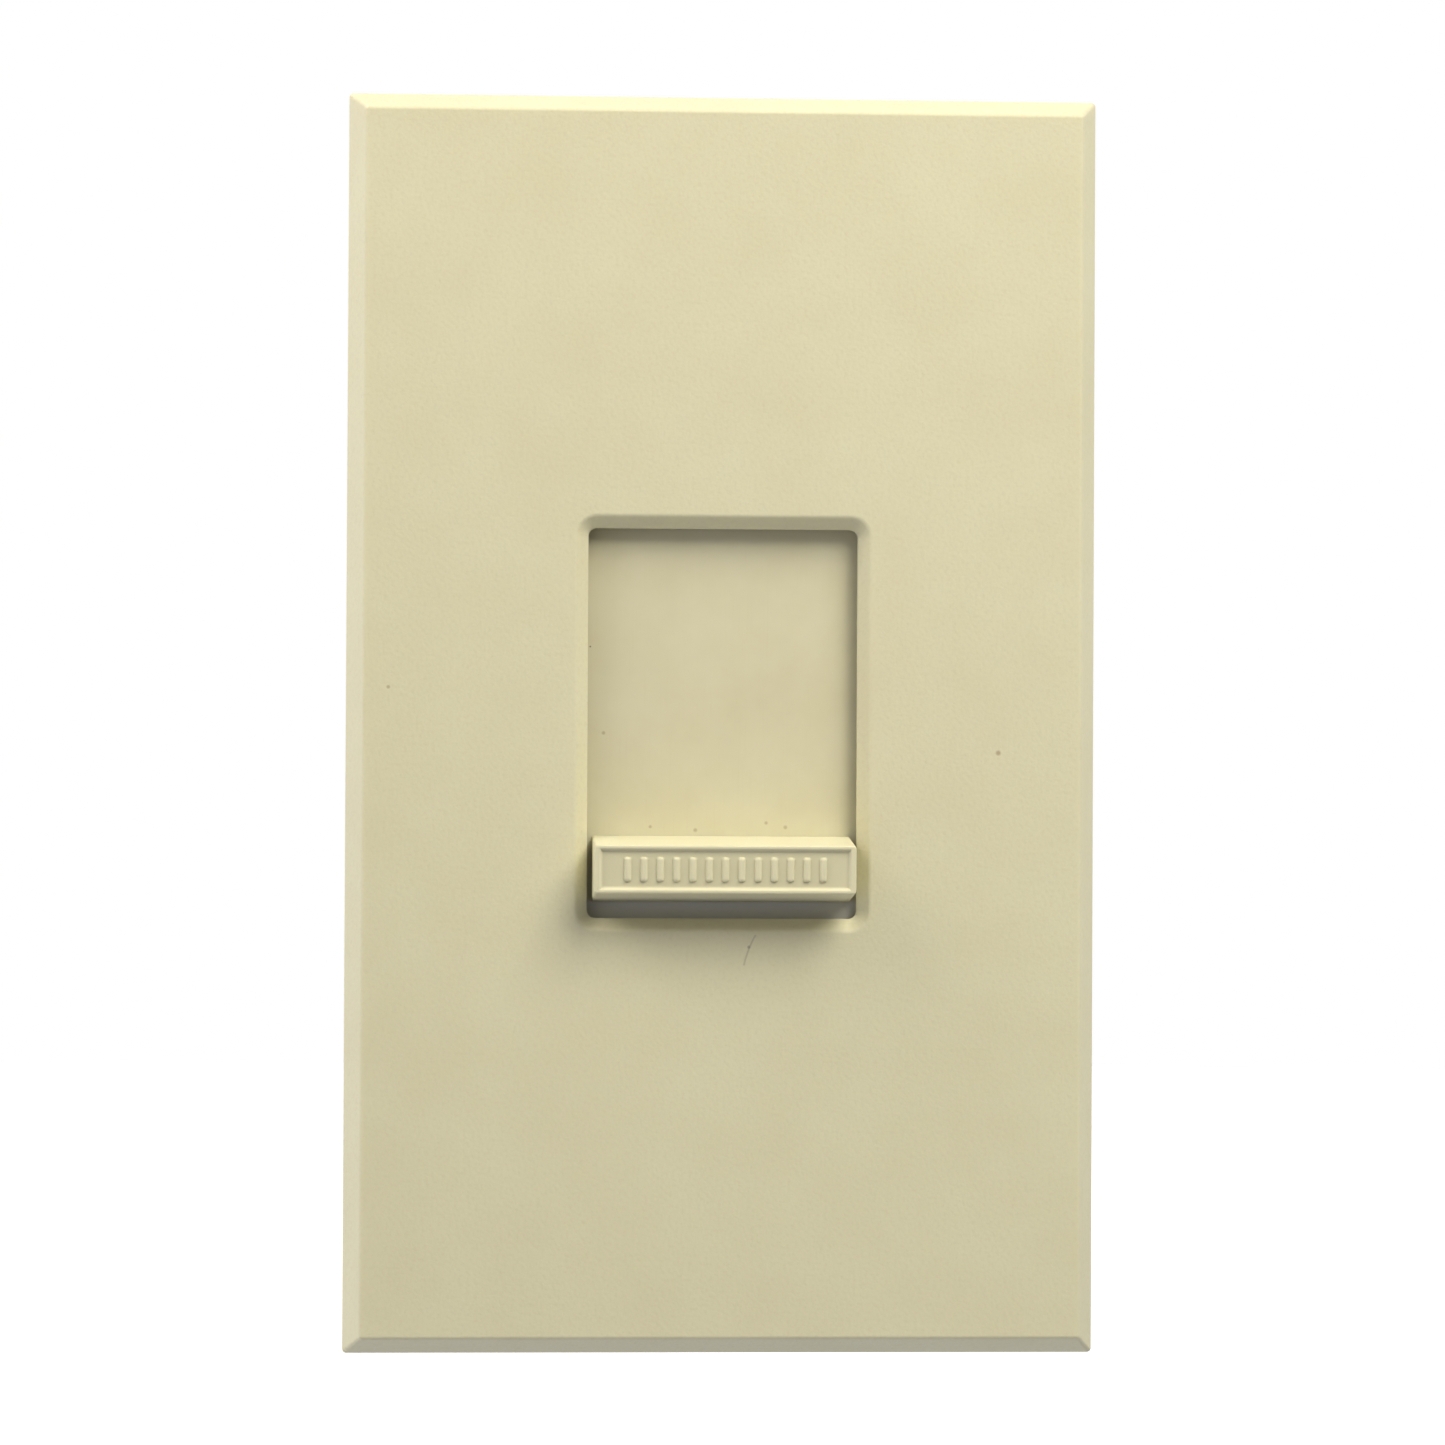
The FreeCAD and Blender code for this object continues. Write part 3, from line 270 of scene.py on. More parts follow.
def surface(name, colour, second, patch, grain, relief, rough, run=EVEN, **fixed):
    """A finish that drifts in patches between two tones, with a fine grain in its relief and roughness.

    patch, grain and relief are in millimetres, run stretches the pattern along each axis, and fixed holds
    constants for the shader's own sockets.
    """
    material = bpy.data.materials.new(name)
    material.use_nodes = True
    tree = material.node_tree
    tree.nodes.clear()
    place = add_node(tree, "ShaderNodeTexCoord").outputs["Object"]
    stretch = {0: place, 1: [1 / r for r in run]}
    along = add_node(tree, "ShaderNodeVectorMath", stretch, operation="MULTIPLY").outputs["Vector"]
    drift = {"Vector": along, "Scale": per_mm(patch), "Detail": 3.0, "Roughness": 0.6}
    patches = add_node(tree, "ShaderNodeTexNoise", drift)
    fine = {"Vector": along, "Scale": per_mm(grain), "Detail": 2.0, "Roughness": 0.55}
    grains = add_node(tree, "ShaderNodeTexNoise", fine)
    share = add_node(tree, "ShaderNodeMapRange", {"Value": patches, "From Min": 0.32, "From Max": 0.68})
    tone = add_node(tree, "ShaderNodeMix", {0: share, 6: colour, 7: linear_colour(second)}, data_type="RGBA")
    limits = {"Value": grains, "From Min": 0.3, "From Max": 0.7, "To Min": rough[0], "To Max": rough[1]}
    roughness = add_node(tree, "ShaderNodeMapRange", limits)
    bump = add_node(tree, "ShaderNodeBump", {"Height": grains, "Distance": relief * MM, "Strength": 1.0})
    shader = add_node(
        tree,
        "ShaderNodeBsdfPrincipled",
        {"Base Color": tone.outputs[2], "Roughness": roughness, "Normal": bump},
        name=SHADER,
    )
    for key, value in fixed.items():
        shader.inputs[key.replace("_", " ")].default_value = value
    add_node(tree, "ShaderNodeOutputMaterial", {"Surface": shader})
    return material


def place_in(material):
    """The finish's tree, its place in the object's own coordinates, and that place's x, y and z."""
    tree = material.node_tree
    place = add_node(tree, "ShaderNodeTexCoord").outputs["Object"]
    parts = add_node(tree, "ShaderNodeSeparateXYZ", {0: place})
    return tree, place, parts.outputs


def lay_over(material, mask, colour):
    """Lays a colour over a finish where the mask is 1."""
    tree = material.node_tree
    base = tree.nodes[SHADER].inputs["Base Color"]
    below = base.links[0].from_socket
    mix = add_node(tree, "ShaderNodeMix", {0: mask, 6: below, 7: linear_colour(colour)}, data_type="RGBA")
    tree.links.new(mix.outputs[2], base)


def emboss(material, height, relief):
    """Raises a finish by relief millimetres where height is 1, in its normals only."""
    tree = material.node_tree
    normal = tree.nodes[SHADER].inputs["Normal"]
    below = normal.links[0].from_socket
    bump = add_node(tree, "ShaderNodeBump", {"Height": height, "Distance": relief * MM, "Normal": below})
    tree.links.new(bump.outputs[0], normal)


def stain(material, value, start, full, most, colour):
    """Lays a colour over a finish: none where value is at start, and the most where it is at full."""
    limits = {"Value": value, "From Min": start, "From Max": full, "To Max": most}
    lay_over(material, add_node(material.node_tree, "ShaderNodeMapRange", limits), colour)


def distance_from(tree, part, middle):
    """How far a coordinate lies from a middle value."""
    off = add_node(tree, "ShaderNodeMath", {0: part, 1: middle}, operation="SUBTRACT")
    return add_node(tree, "ShaderNodeMath", {0: off}, operation="ABSOLUTE")


def specks(material, spacing, radius, share, colour):
    """Scatters small round specks, with sizes in millimetres. share is how many of the cells have one."""
    tree, place, _ = place_in(material)
    cells = add_node(tree, "ShaderNodeTexVoronoi", {"Vector": place, "Scale": per_mm(spacing)})
    edge = radius / spacing
    limits = {"Value": cells.outputs["Distance"], "From Min": edge, "From Max": edge * 0.55}
    near = add_node(tree, "ShaderNodeMapRange", limits)
    chance = add_node(tree, "ShaderNodeSeparateColor", {0: cells.outputs["Color"]})
    kept = add_node(tree, "ShaderNodeMath", {0: chance.outputs[0], 1: share}, operation="LESS_THAN")
    mask = add_node(tree, "ShaderNodeMath", {0: near, 1: kept}, operation="MULTIPLY")
    lay_over(material, mask.outputs[0], colour)


def mark_at(material, spot, radius, colour):
    """One small soft-edged mark; radius is in millimetres."""
    tree, place, _ = place_in(material)
    away = add_node(tree, "ShaderNodeVectorMath", {0: place, 1: spot}, operation="DISTANCE")
    stain(material, away.outputs["Value"], 1.4 * radius * MM, 0.6 * radius * MM, 0.6, colour)


# The hair scratch under the window: its middle, how far it runs up and down, how it slants and bows, and the
# distances from its line at which it starts and is full.
SCRATCH_X = 2.42 * MM
SCRATCH_Z = -21.0 * MM
SCRATCH_REACH = 1.4 * MM
SCRATCH_SLANT = 0.38
SCRATCH_BOW = 60.0
SCRATCH_EDGES = (0.13 * MM, 0.03 * MM)
# Single marks on the plate: x and z, radius in millimetres, and colour.
PLATE_MARKS = (
    (2.46, -20.7, 0.14, "857D6C"),
    (25.6, -2.6, 0.22, "9A8360"),
    (-31.0, 3.2, 0.16, "A08F6E"),
)


def plate_finish(colour):
    """Polycarbonate moulded in an etched tool: an even matt ivory with a fine grain and almost no shine."""
    material = surface(
        "moulded_polycarbonate_etched",
        colour,
        "D4CFAC",
        patch=9.0,
        grain=0.22,
        relief=0.010,
        rough=(0.50, 0.62),
        IOR=1.58,
        Specular_IOR_Level=0.35,
        Subsurface_Weight=0.22,
        Subsurface_Radius=(1.2 * MM, 1.0 * MM, 0.7 * MM),
        Subsurface_Scale=1.0,
    )
    tree, place, parts = place_in(material)
    # The tool's etching leaves cells that catch the light from above, drawn at 0.42 mm so that they show.
    cells = add_node(tree, "ShaderNodeTexNoise", {"Vector": place, "Scale": per_mm(0.42), "Detail": 1.0})
    emboss(material, cells, 0.022)
    # Darker flecks in the melt, about 0.4 mm apart.
    flecks = add_node(tree, "ShaderNodeTexNoise", {"Vector": place, "Scale": per_mm(0.38), "Detail": 3.0})
    stain(material, flecks, 0.48, 0.72, 0.26, "C8BF9C")
    specks(material, 9.0, 0.09, 0.14, "8C7D5C")
    # One fine hair scratch below the window, with a dark dot on it.
    low_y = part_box("faceplate")[0].y
    bend = add_node(tree, "ShaderNodeMath", {0: parts[2], 1: SCRATCH_Z}, operation="SUBTRACT")
    bow = add_node(tree, "ShaderNodeMath", {0: bend, 1: bend}, operation="MULTIPLY")
    curve = add_node(tree, "ShaderNodeMath", {0: bow, 1: SCRATCH_BOW}, operation="MULTIPLY")
    slant = {0: bend, 1: SCRATCH_SLANT, 2: curve}
    slope = add_node(tree, "ShaderNodeMath", slant, operation="MULTIPLY_ADD")
    across = add_node(tree, "ShaderNodeMath", {0: parts[0], 1: slope}, operation="SUBTRACT")
    aside = distance_from(tree, across, SCRATCH_X)
    width = {"Value": aside, "From Min": SCRATCH_EDGES[0], "From Max": SCRATCH_EDGES[1]}
    offset = add_node(tree, "ShaderNodeMapRange", width)
    run = {0: parts[2], 1: SCRATCH_Z, 2: SCRATCH_REACH}
    length = add_node(tree, "ShaderNodeMath", run, operation="COMPARE")
    skin_y = low_y + 0.2 * MM
    front = add_node(tree, "ShaderNodeMath", {0: parts[1], 1: skin_y}, operation="LESS_THAN")
    line = add_node(tree, "ShaderNodeMath", {0: offset, 1: length}, operation="MULTIPLY")
    scratch = add_node(tree, "ShaderNodeMath", {0: line, 1: front}, operation="MULTIPLY")
    stain(material, scratch, 0.0, 1.0, 0.45, "9A917A")
    for x, z, radius, code in PLATE_MARKS:
        mark_at(material, (x * MM, low_y, z * MM), radius, code)
    emboss(material, scratch, -0.02)
    return material


def bar_finish(colour, box):
    """The same resin in a smoother tool, handled daily: a soft sheen, and painted shade in the sunk field."""
    material = surface(
        "moulded_polycarbonate_satin",
        colour,
        "D6D1AE",
        patch=4.0,
        grain=0.16,
        relief=0.004,
        rough=(0.40, 0.52),
        IOR=1.58,
        Specular_IOR_Level=0.4,
        Subsurface_Weight=0.15,
        Subsurface_Radius=(0.5 * MM, 0.4 * MM, 0.3 * MM),
        Subsurface_Scale=1.0,
    )
    specks(material, 5.0, 0.06, 0.08, "97886A")
    # Painted shade: a darker tone laid in the sunk field, between the ribs, where the rim shades it.
    tree, _, parts = place_in(material)
    low, high = box
    deep = {"Value": parts[1], "From Min": low.y + 0.16 * MM, "From Max": low.y + 0.30 * MM, "To Max": 0.36}
    sunk = add_node(tree, "ShaderNodeMapRange", deep)
    above = {0: parts[2], 1: (low.z + high.z) / 2, 2: 1.75 * MM}
    inside = add_node(tree, "ShaderNodeMath", above, operation="COMPARE")
    behind = low.y + 0.6 * MM
    shallow = add_node(tree, "ShaderNodeMath", {0: parts[1], 1: behind}, operation="LESS_THAN")
    field = add_node(tree, "ShaderNodeMath", {0: inside, 1: shallow}, operation="MULTIPLY")
    sunk_field_shade = add_node(tree, "ShaderNodeMath", {0: sunk, 1: field}, operation="MULTIPLY")
    lay_over(material, sunk_field_shade, "C4BE9B")
    return material


# Crumbs of dust on the strip: x, z and radius, in millimetres.
CRUMBS = (
    (-2.4, -9.9, 0.17),
    (-6.6, -9.6, 0.14),
    (4.2, -9.2, 0.15),
    (6.0, -9.6, 0.17),
    (-11.0, -0.9, 0.16),
)
# Height of the band of painted light on the strip, which lifts the shade in the gap under the finger bar at
# rest.
PAINTED_LIGHT_BAND_Z = -17.55 * MM


def shutter_finish(colour, box):
    """Acetal strip in a polished tool: smooth, with fine rub lines along its travel, a little dust, and a
    band of painted light under the finger bar.
    """
    material = surface(
        "moulded_acetal_strip",
        colour,
        "D1CBA9",
        patch=7.0,
        grain=0.12,
        relief=0.003,
        rough=(0.38, 0.50),
        IOR=1.48,
        Specular_IOR_Level=0.4,
        Subsurface_Weight=0.25,
        Subsurface_Radius=(1.5 * MM, 1.2 * MM, 0.9 * MM),
        Subsurface_Scale=1.0,
    )
    tree, place, parts = place_in(material)
    squeeze = {0: place, 1: (1.0, 1.0, 0.02)}
    lengthwise = add_node(tree, "ShaderNodeVectorMath", squeeze, operation="MULTIPLY")
    # Dust in the guide leaves faint rub lines 0.15 mm apart.
    rubs = add_node(tree, "ShaderNodeTexNoise", {"Vector": lengthwise, "Scale": per_mm(0.15), "Detail": 4.0})
    stain(material, rubs, 0.56, 0.75, 0.10, "C6B98F")
    emboss(material, rubs, 0.002)
    specks(material, 3.2, 0.10, 0.22, "85775A")
    # A pale band across the strip, in the gap under the finger bar at rest: painted light that lifts and
    # greys the shade in that gap. It only lightens and greys that gap: no real mark on the strip is known.
    stain(material, distance_from(tree, parts[2], PAINTED_LIGHT_BAND_Z), 1.3 * MM, 0.8 * MM, 0.6, "E2E3E6")
    # Crumbs of dust: four just above the finger bar at rest, and one higher up on the left.
    for x, z, radius in CRUMBS:
        mark_at(material, (x * MM, box[0].y, z * MM), radius, "A2966F")
    return material


def yoke_finish(colour):
    """Aluminium extruded and clear anodised: pale grey, with die lines along its length."""
    material = surface(
        "extruded_aluminium_anodised",
        colour,
        "B2B3B5",
        patch=3.0,
        grain=0.10,
        relief=0.004,
        rough=(0.30, 0.46),
        run=(1, 1, 60),
        Metallic=1.0,
        Anisotropic=0.5,
    )
    tree, place, _ = place_in(material)
    # Handling marks: a few dull cloudy patches of 6 mm.
    cloud = add_node(tree, "ShaderNodeTexNoise", {"Vector": place, "Scale": per_mm(6.0), "Detail": 5.0})
    stain(material, cloud, 0.55, 0.75, 0.30, "96979A")
    return material


def housing_finish(colour, box):
    """Glass-filled polyester in a spark-eroded tool: dark grey, gritty and dry, with the tool's marks."""
    material = surface(
        "moulded_glass_filled_polyester",
        colour,
        "434448",
        patch=4.0,
        grain=0.32,
        relief=0.060,
        rough=(0.42, 0.66),
        IOR=1.57,
        Specular_IOR_Level=0.45,
    )
    tree, place, parts = place_in(material)
    # Spark erosion leaves craters of about 0.5 mm, raised 0.05 mm.
    craters = add_node(tree, "ShaderNodeTexNoise", {"Vector": place, "Scale": per_mm(0.5), "Detail": 2.0})
    emboss(material, craters, 0.05)
    # Glass fibres near the skin: pale slivers 0.12 mm across, along the flow.
    squeeze = {0: place, 1: (1.0, 1.0, 0.12)}
    flow = add_node(tree, "ShaderNodeVectorMath", squeeze, operation="MULTIPLY")
    fibres = add_node(tree, "ShaderNodeTexNoise", {"Vector": flow, "Scale": per_mm(0.12), "Detail": 3.0})
    stain(material, fibres, 0.60, 0.80, 0.5, "66686C")
    # The parting line round the middle of the walls stands 0.08 mm proud and is scuffed pale.
    middle = (box[0].y + box[1].y) / 2
    ridge = {"Value": distance_from(tree, parts[1], middle), "From Min": 0.20 * MM, "From Max": 0.05 * MM}
    line = add_node(tree, "ShaderNodeMapRange", ridge)
    emboss(material, line, 0.08)
    stain(material, line, 0.0, 1.0, 0.4, "55565A")
    # Ejector pins of 5 mm leave four sunk, smoother discs near the corners.
    flat = add_node(tree, "ShaderNodeVectorMath", {0: place}, operation="ABSOLUTE")
    pin = (box[1].x * 0.66, 0.0, box[1].z * 0.80)
    keep = {0: flat, 1: (1.0, 0.0, 1.0)}
    spread = add_node(tree, "ShaderNodeVectorMath", keep, operation="MULTIPLY")
    reach = add_node(tree, "ShaderNodeVectorMath", {0: spread, 1: pin}, operation="DISTANCE")
    disc = {"Value": reach.outputs["Value"], "From Min": 2.7 * MM, "From Max": 2.4 * MM}
    pins = add_node(tree, "ShaderNodeMapRange", disc)
    emboss(material, pins, -0.10)
    stain(material, pins, 0.0, 1.0, 0.35, "4E4F53")
    return material


def resistor_finish(colour, box):
    """Lacquered carbon film resistors: a glossy tan coat with four painted bands."""
    material = surface(
        "lacquered_resistor_body",
        colour,
        "BF9C68",
        patch=1.2,
        grain=0.3,
        relief=0.01,
        rough=(0.22, 0.32),
        IOR=1.5,
        Coat_Weight=0.4,
        Coat_Roughness=0.15,
    )
    tree, _, parts = place_in(material)
    left = box[0].x
    # Painted bands 0.5 mm wide: millimetres from the left end, and colour.
    for distance, code in ((1.5, "6E3B1E"), (2.6, "1A1A1A"), (3.7, "B5651D"), (5.1, "B08D3A")):
        at = {0: parts[0], 1: left + distance * MM, 2: 0.25 * MM}
        lay_over(material, add_node(tree, "ShaderNodeMath", at, operation="COMPARE"), code)
    return material


def board_finish(colour):
    """Epoxy glass laminate under green solder mask: a satin coat, with copper patches that show."""
    material = surface(
        "epoxy_glass_solder_mask",
        colour,
        "35602E",
        patch=2.5,
        grain=0.35,
        relief=0.006,
        rough=(0.28, 0.40),
        IOR=1.55,
        Coat_Weight=0.3,
        Coat_Roughness=0.2,
    )
    tree, place, _ = place_in(material)
    # Copper under the mask, as patches about 5 mm apart, since the real tracks' layout isn't known.
    cells = {"Vector": place, "Scale": per_mm(5.0), "Randomness": 0.8}
    copper = add_node(tree, "ShaderNodeTexVoronoi", cells, feature="F1", distance="MANHATTAN")
    edge = {"Value": copper, "From Min": 0.52, "From Max": 0.50, "To Max": 0.8}
    tracks = add_node(tree, "ShaderNodeMapRange", edge)
    lay_over(material, tracks, "5D8A45")
    emboss(material, tracks, 0.035)
    return material


def sheet_finish(colour):
    """Vulcanised fibre sheet: grey green, with short pressed fibres and a dry face."""
    material = surface(
        "vulcanised_fibre_sheet",
        colour,
        "6B7A66",
        patch=1.6,
        grain=0.18,
        relief=0.02,
        rough=(0.62, 0.80),
        IOR=1.5,
        Specular_IOR_Level=0.3,
    )
    tree, place, _ = place_in(material)
    hairs = {"Vector": place, "Scale": per_mm(0.9), "Detail": 4.0, "Distortion": 1.5}
    fibres = add_node(tree, "ShaderNodeTexNoise", hairs)
    stain(material, fibres, 0.55, 0.70, 0.4, "8A9580")
    return material


def core_finish(colour):
    """Iron powder ring under thick paint: slightly lumpy, with a soft shine and grey chips."""
    material = surface(
        "painted_iron_powder_core",
        colour,
        "BDA52F",
        patch=2.0,
        grain=0.5,
        relief=0.04,
        rough=(0.34, 0.50),
        IOR=1.5,
    )
    specks(material, 2.4, 0.20, 0.10, "5A5A55")
    return material


def wire_finish(colour):
    """Enamelled wire: clear amber varnish over copper, brightest along the crown of each turn."""
    return surface(
        "enamelled_copper_wire",
        colour,
        "B25E2C",
        patch=1.6,
        grain=0.25,
        relief=0.004,
        rough=(0.22, 0.34),
        Metallic=0.7,
        Coat_Weight=0.8,
        Coat_Roughness=0.12,
    )


def make_finishes(colours):
    """One finish for each material slot of the record, and one for the finger bar."""
    finishes = {
        "ivory_plastic": plate_finish(colours.ivory_plastic),
        "ivory_shutter": shutter_finish(colours.ivory_shutter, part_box("slide_shutter")),
        "aluminium": yoke_finish(colours.aluminium),
        "grey_thermoplastic": housing_finish(colours.grey_thermoplastic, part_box("rear_housing")),
        "resistor_tan": resistor_finish(colours.resistor_tan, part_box("resistors")),
        "epoxy_glass_board": board_finish(colours.epoxy_glass_board),
        "fishpaper": sheet_finish(colours.fishpaper),
        "ferrite": core_finish(colours.ferrite),
        "enamelled_copper": wire_finish(colours.enamelled_copper),
        "finger_bar": bar_finish(colours.ivory_plastic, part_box("slider_knob")),
    }
    # Slot, finish, second tone, patch, grain and relief in millimetres, roughness, run, and the IOR of what
    # isn't metal.
    rows = (
        # Black nylon from a fine tool: deep, slightly waxy.
        ("black_nylon", "moulded_nylon_black", "303034", 3.0, 0.25, 0.012, (0.42, 0.56), EVEN, 1.53),
        # Natural nylon: milky, waxy and smooth.
        ("white_nylon", "moulded_nylon_natural", "DAD6C8", 2.5, 0.2, 0.006, (0.34, 0.46), EVEN, 1.53),
        # Zinc over steel: bright grey with a cloudy crystal bloom.
        ("zinc_steel", "zinc_plated_steel", "A9ADB0", 0.8, 0.15, 0.004, (0.24, 0.44), EVEN, None),
        # Tin dipped copper: bright, soft ripples where the tin ran.
        ("tinned_copper", "hot_tinned_copper", "B4B7BA", 1.2, 0.6, 0.01, (0.18, 0.34), (1, 1, 2), None),
        # Paper laminate: brown, with pressed paper fibre along the sheet.
        ("phenolic_strip", "phenolic_paper_laminate", "5A3820", 1.5, 0.2, 0.006, (0.36, 0.5), LONG_RUN, 1.6),
        # Screened carbon: matt black with the mesh's grain.
        ("carbon_ink", "screened_carbon_ink", "222226", 0.8, 0.12, 0.01, (0.55, 0.72), EVEN, 1.5),
        # Rolled brass: warm, with rolling lines along the strip.
        ("brass", "rolled_brass_strip", "B08C46", 1.5, 0.08, 0.003, (0.24, 0.38), (1, 1, 25), None),
        # Moulded epoxy: black and dry, with a fine spark texture.
        ("epoxy_black", "moulded_epoxy_black", "242427", 1.5, 0.14, 0.012, (0.45, 0.62), EVEN, 1.55),
        # Mica pad: pearly layers with a satin shine.
        ("mica_pad", "split_mica_pad", "A59F8C", 1.8, 0.3, 0.004, (0.25, 0.45), EVEN, 1.58),
        # Potted box: glossy yellow case.
        ("film_yellow", "polyester_box_yellow", "CDA22E", 2.5, 0.3, 0.006, (0.22, 0.34), EVEN, 1.57),
        # Blue case: glossy moulded polymer.
        ("blue_polymer", "moulded_polyester_blue", "264F86", 2.0, 0.25, 0.006, (0.24, 0.36), EVEN, 1.57),
        # Sealed glass: deep red, clear and glossy.
        ("diac_glass", "sealed_glass_red", "A5482F", 0.8, 0.4, 0.003, (0.06, 0.14), EVEN, 1.52),
        # Moulded rubber: charcoal, dry and slightly dusty.
        ("black_rubber", "moulded_epdm_rubber", "2B2B2B", 1.2, 0.16, 0.014, (0.6, 0.78), EVEN, 1.5),
        # Rotor: matt white polymer with a chalky face.
        ("rotor_white", "moulded_polymer_white", "DCD8CA", 1.0, 0.15, 0.006, (0.42, 0.56), EVEN, 1.5),
    )
    for slot, name, second, patch, grain, relief, rough, run, ior in rows:
        fixed = {"IOR": ior} if ior else {"Metallic": 1.0}
        colour = getattr(colours, slot)
        finishes[slot] = surface(name, colour, second, patch, grain, relief, rough, run, **fixed)
    return finishes


FINISH_NAMES = {}


def finish_for(slot):
    """The finish made for a slot, made with all the others the first time."""
    material = bpy.data.materials.get(FINISH_NAMES.get(slot, ""))
    if material is None:
        made = make_finishes(bpy.context.scene.dimmer.colours)
        FINISH_NAMES.update({key: value.name for key, value in made.items()})
        material = made[slot]
    return material


def dress(*nodes):
    """Gives frame nodes the finish of the slot that each is packed with."""
    for name in nodes:
        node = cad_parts[name]
        for index, old in enumerate(node.data.materials):
            node.data.materials[index] = finish_for(old.name.split(".")[0])


# ------------------------------------------------------------------ mesh code


WELD = 0.001 * MM
SLIVER = 0.0005 * MM


def make_piece(name, shell, material, body, replaced, crease=40.0):
    """Turns a bmesh into a piece that rides on a body and stands for frame nodes."""
    bmesh.ops.remove_doubles(shell, verts=shell.verts, dist=WELD)
    bmesh.ops.dissolve_degenerate(shell, edges=shell.edges, dist=SLIVER)
    bmesh.ops.recalc_face_normals(shell, faces=shell.faces)
    mesh = bpy.data.meshes.new(name)
    shell.to_mesh(mesh)
    shell.free()
    mesh.shade_smooth()
    mesh.set_sharp_from_angle(angle=math.radians(crease))
    mesh.materials.append(material)
    piece = bpy.data.objects.new(name, mesh)
    bpy.context.scene.collection.objects.link(piece)
    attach(piece, body)
    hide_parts(*replaced)
    return piece


def skin(shell, loops, closed=False):
    """Joins each loop of points to the next with quads. A closed skin joins the last to the first."""
    rows = [[shell.verts.new(point) for point in loop] for loop in loops]
    pairs = list(zip(rows, rows[1:]))
    if closed:
        pairs.append((rows[-1], rows[0]))
    for row, following in pairs:
        count = len(row)
        for i in range(count):
            j = (i + 1) % count
            shell.faces.new((row[i], row[j], following[j], following[i]))


def turned(shell, profile, centre, axis, sides=64):
    """Turns a profile of (along, radius) points about an axis through centre.

    A profile that starts off the axis is closed on itself.
    """
    across = axis.orthogonal().normalized()
    loops = []
    for along, radius in profile:
        arm = across * max(radius, 0.0)
        steps = (2 * math.pi * i / sides for i in range(sides))
        loops.append([centre + axis * along + Matrix.Rotation(a, 3, axis) @ arm for a in steps])
    skin(shell, loops, closed=profile[0][1] > 0)


def tube(shell, path, radius, sides=12):
    """A round wire along a path, closed at both ends."""
    forward = (path[1] - path[0]).normalized()
    side = forward.orthogonal().normalized()
    loops = [[path[0]] * sides]
    for i, point in enumerate(path):
        ahead = path[min(i + 1, len(path) - 1)] - path[max(i - 1, 0)]
        ahead.normalize()
        side = (side - ahead * side.dot(ahead)).normalized()
        other = ahead.cross(side)
        ring = []
        for k in range(sides):
            angle = 2 * math.pi * k / sides
            ring.append(point + (side * math.cos(angle) + other * math.sin(angle)) * radius)
        loops.append(ring)
    loops.append([path[-1]] * sides)
    skin(shell, loops)


def arc(centre, radius, start, end, steps):
    """Points (along, radius) on an arc in a profile, with angles in degrees."""
    points = []
    for i in range(steps + 1):
        angle = math.radians(start + (end - start) * i / steps)
        points.append((centre[0] + radius * math.cos(angle), centre[1] + radius * math.sin(angle)))
    return points


# ------------------------------------------------------------------ finger bar

# Points along the bar's long and short sides.
ALONG = 241
UP = 31
# Shares of the rim: its outer rounding, where the drop to the field starts, and how long the drop is.
ROUND_SHARE = 0.30
DROP_START = 0.60
DROP_RUN = 0.75
# The stem: its corners, how far its tip is chamfered in and back, and half the height of its barbs.
STEM_CORNER = 0.3 * MM
TIP_BACK = 0.12 * MM
TIP_SIDE = 0.35 * MM
BARB_HALF = 1.2 * MM
# Down each barb from the tip: distance in millimetres, and the share of its reach.
BARB_STEPS = ((0.42, 0.0), (0.44, 0.3), (1.2, 1.0), (1.38, 1.0), (1.4, 0.0))
# The front face's loops, in millimetres from its edge: close over the rim, then even over the field.
RIM_LOOPS = (0.01, 0.03, 0.06, 0.10, 0.14, 0.19, 0.24, 0.29, 0.34, 0.39, 0.44, 0.49, 0.54, 0.60, 0.70, 0.80)
FIELD_START = 0.9
FIELD_STEP = 0.08
FIELD_LOOPS = 16


def outline(half_x, half_z, corner):
    """Points round a rectangle with rounded corners, as many on any size."""
    sharp = [(2 * i / ALONG - 1, 1.0) for i in range(ALONG)]
    sharp += [(1.0, 1 - 2 * i / UP) for i in range(UP)]
    sharp += [(1 - 2 * i / ALONG, -1.0) for i in range(ALONG)]
    sharp += [(-1.0, 2 * i / UP - 1) for i in range(UP)]
    points = []
    for u, v in sharp:
        x, z = u * half_x, v * half_z
        inner_x = max(-half_x + corner, min(half_x - corner, x))
        inner_z = max(-half_z + corner, min(half_z - corner, z))
        arm = Vector((x - inner_x, z - inner_z))
        if arm.length > corner:
            arm = arm.normalized() * corner
        points.append((inner_x + arm.x, inner_z + arm.y))
    return points


def shrunk(points, half_x, half_z, share):
    """The outline drawn in towards its middle line, which it reaches at a share of 1."""
    reach = max(half_x - half_z, 0.0)
    drawn = []
    for x, z in points:
        middle = max(-reach, min(reach, x))
        drawn.append((x + (middle - x) * share, z * (1 - share)))
    return drawn


def smooth(value):
    """A smooth step from 0 to 1."""
    value = max(0.0, min(1.0, value))
    return value * value * (3 - 2 * value)


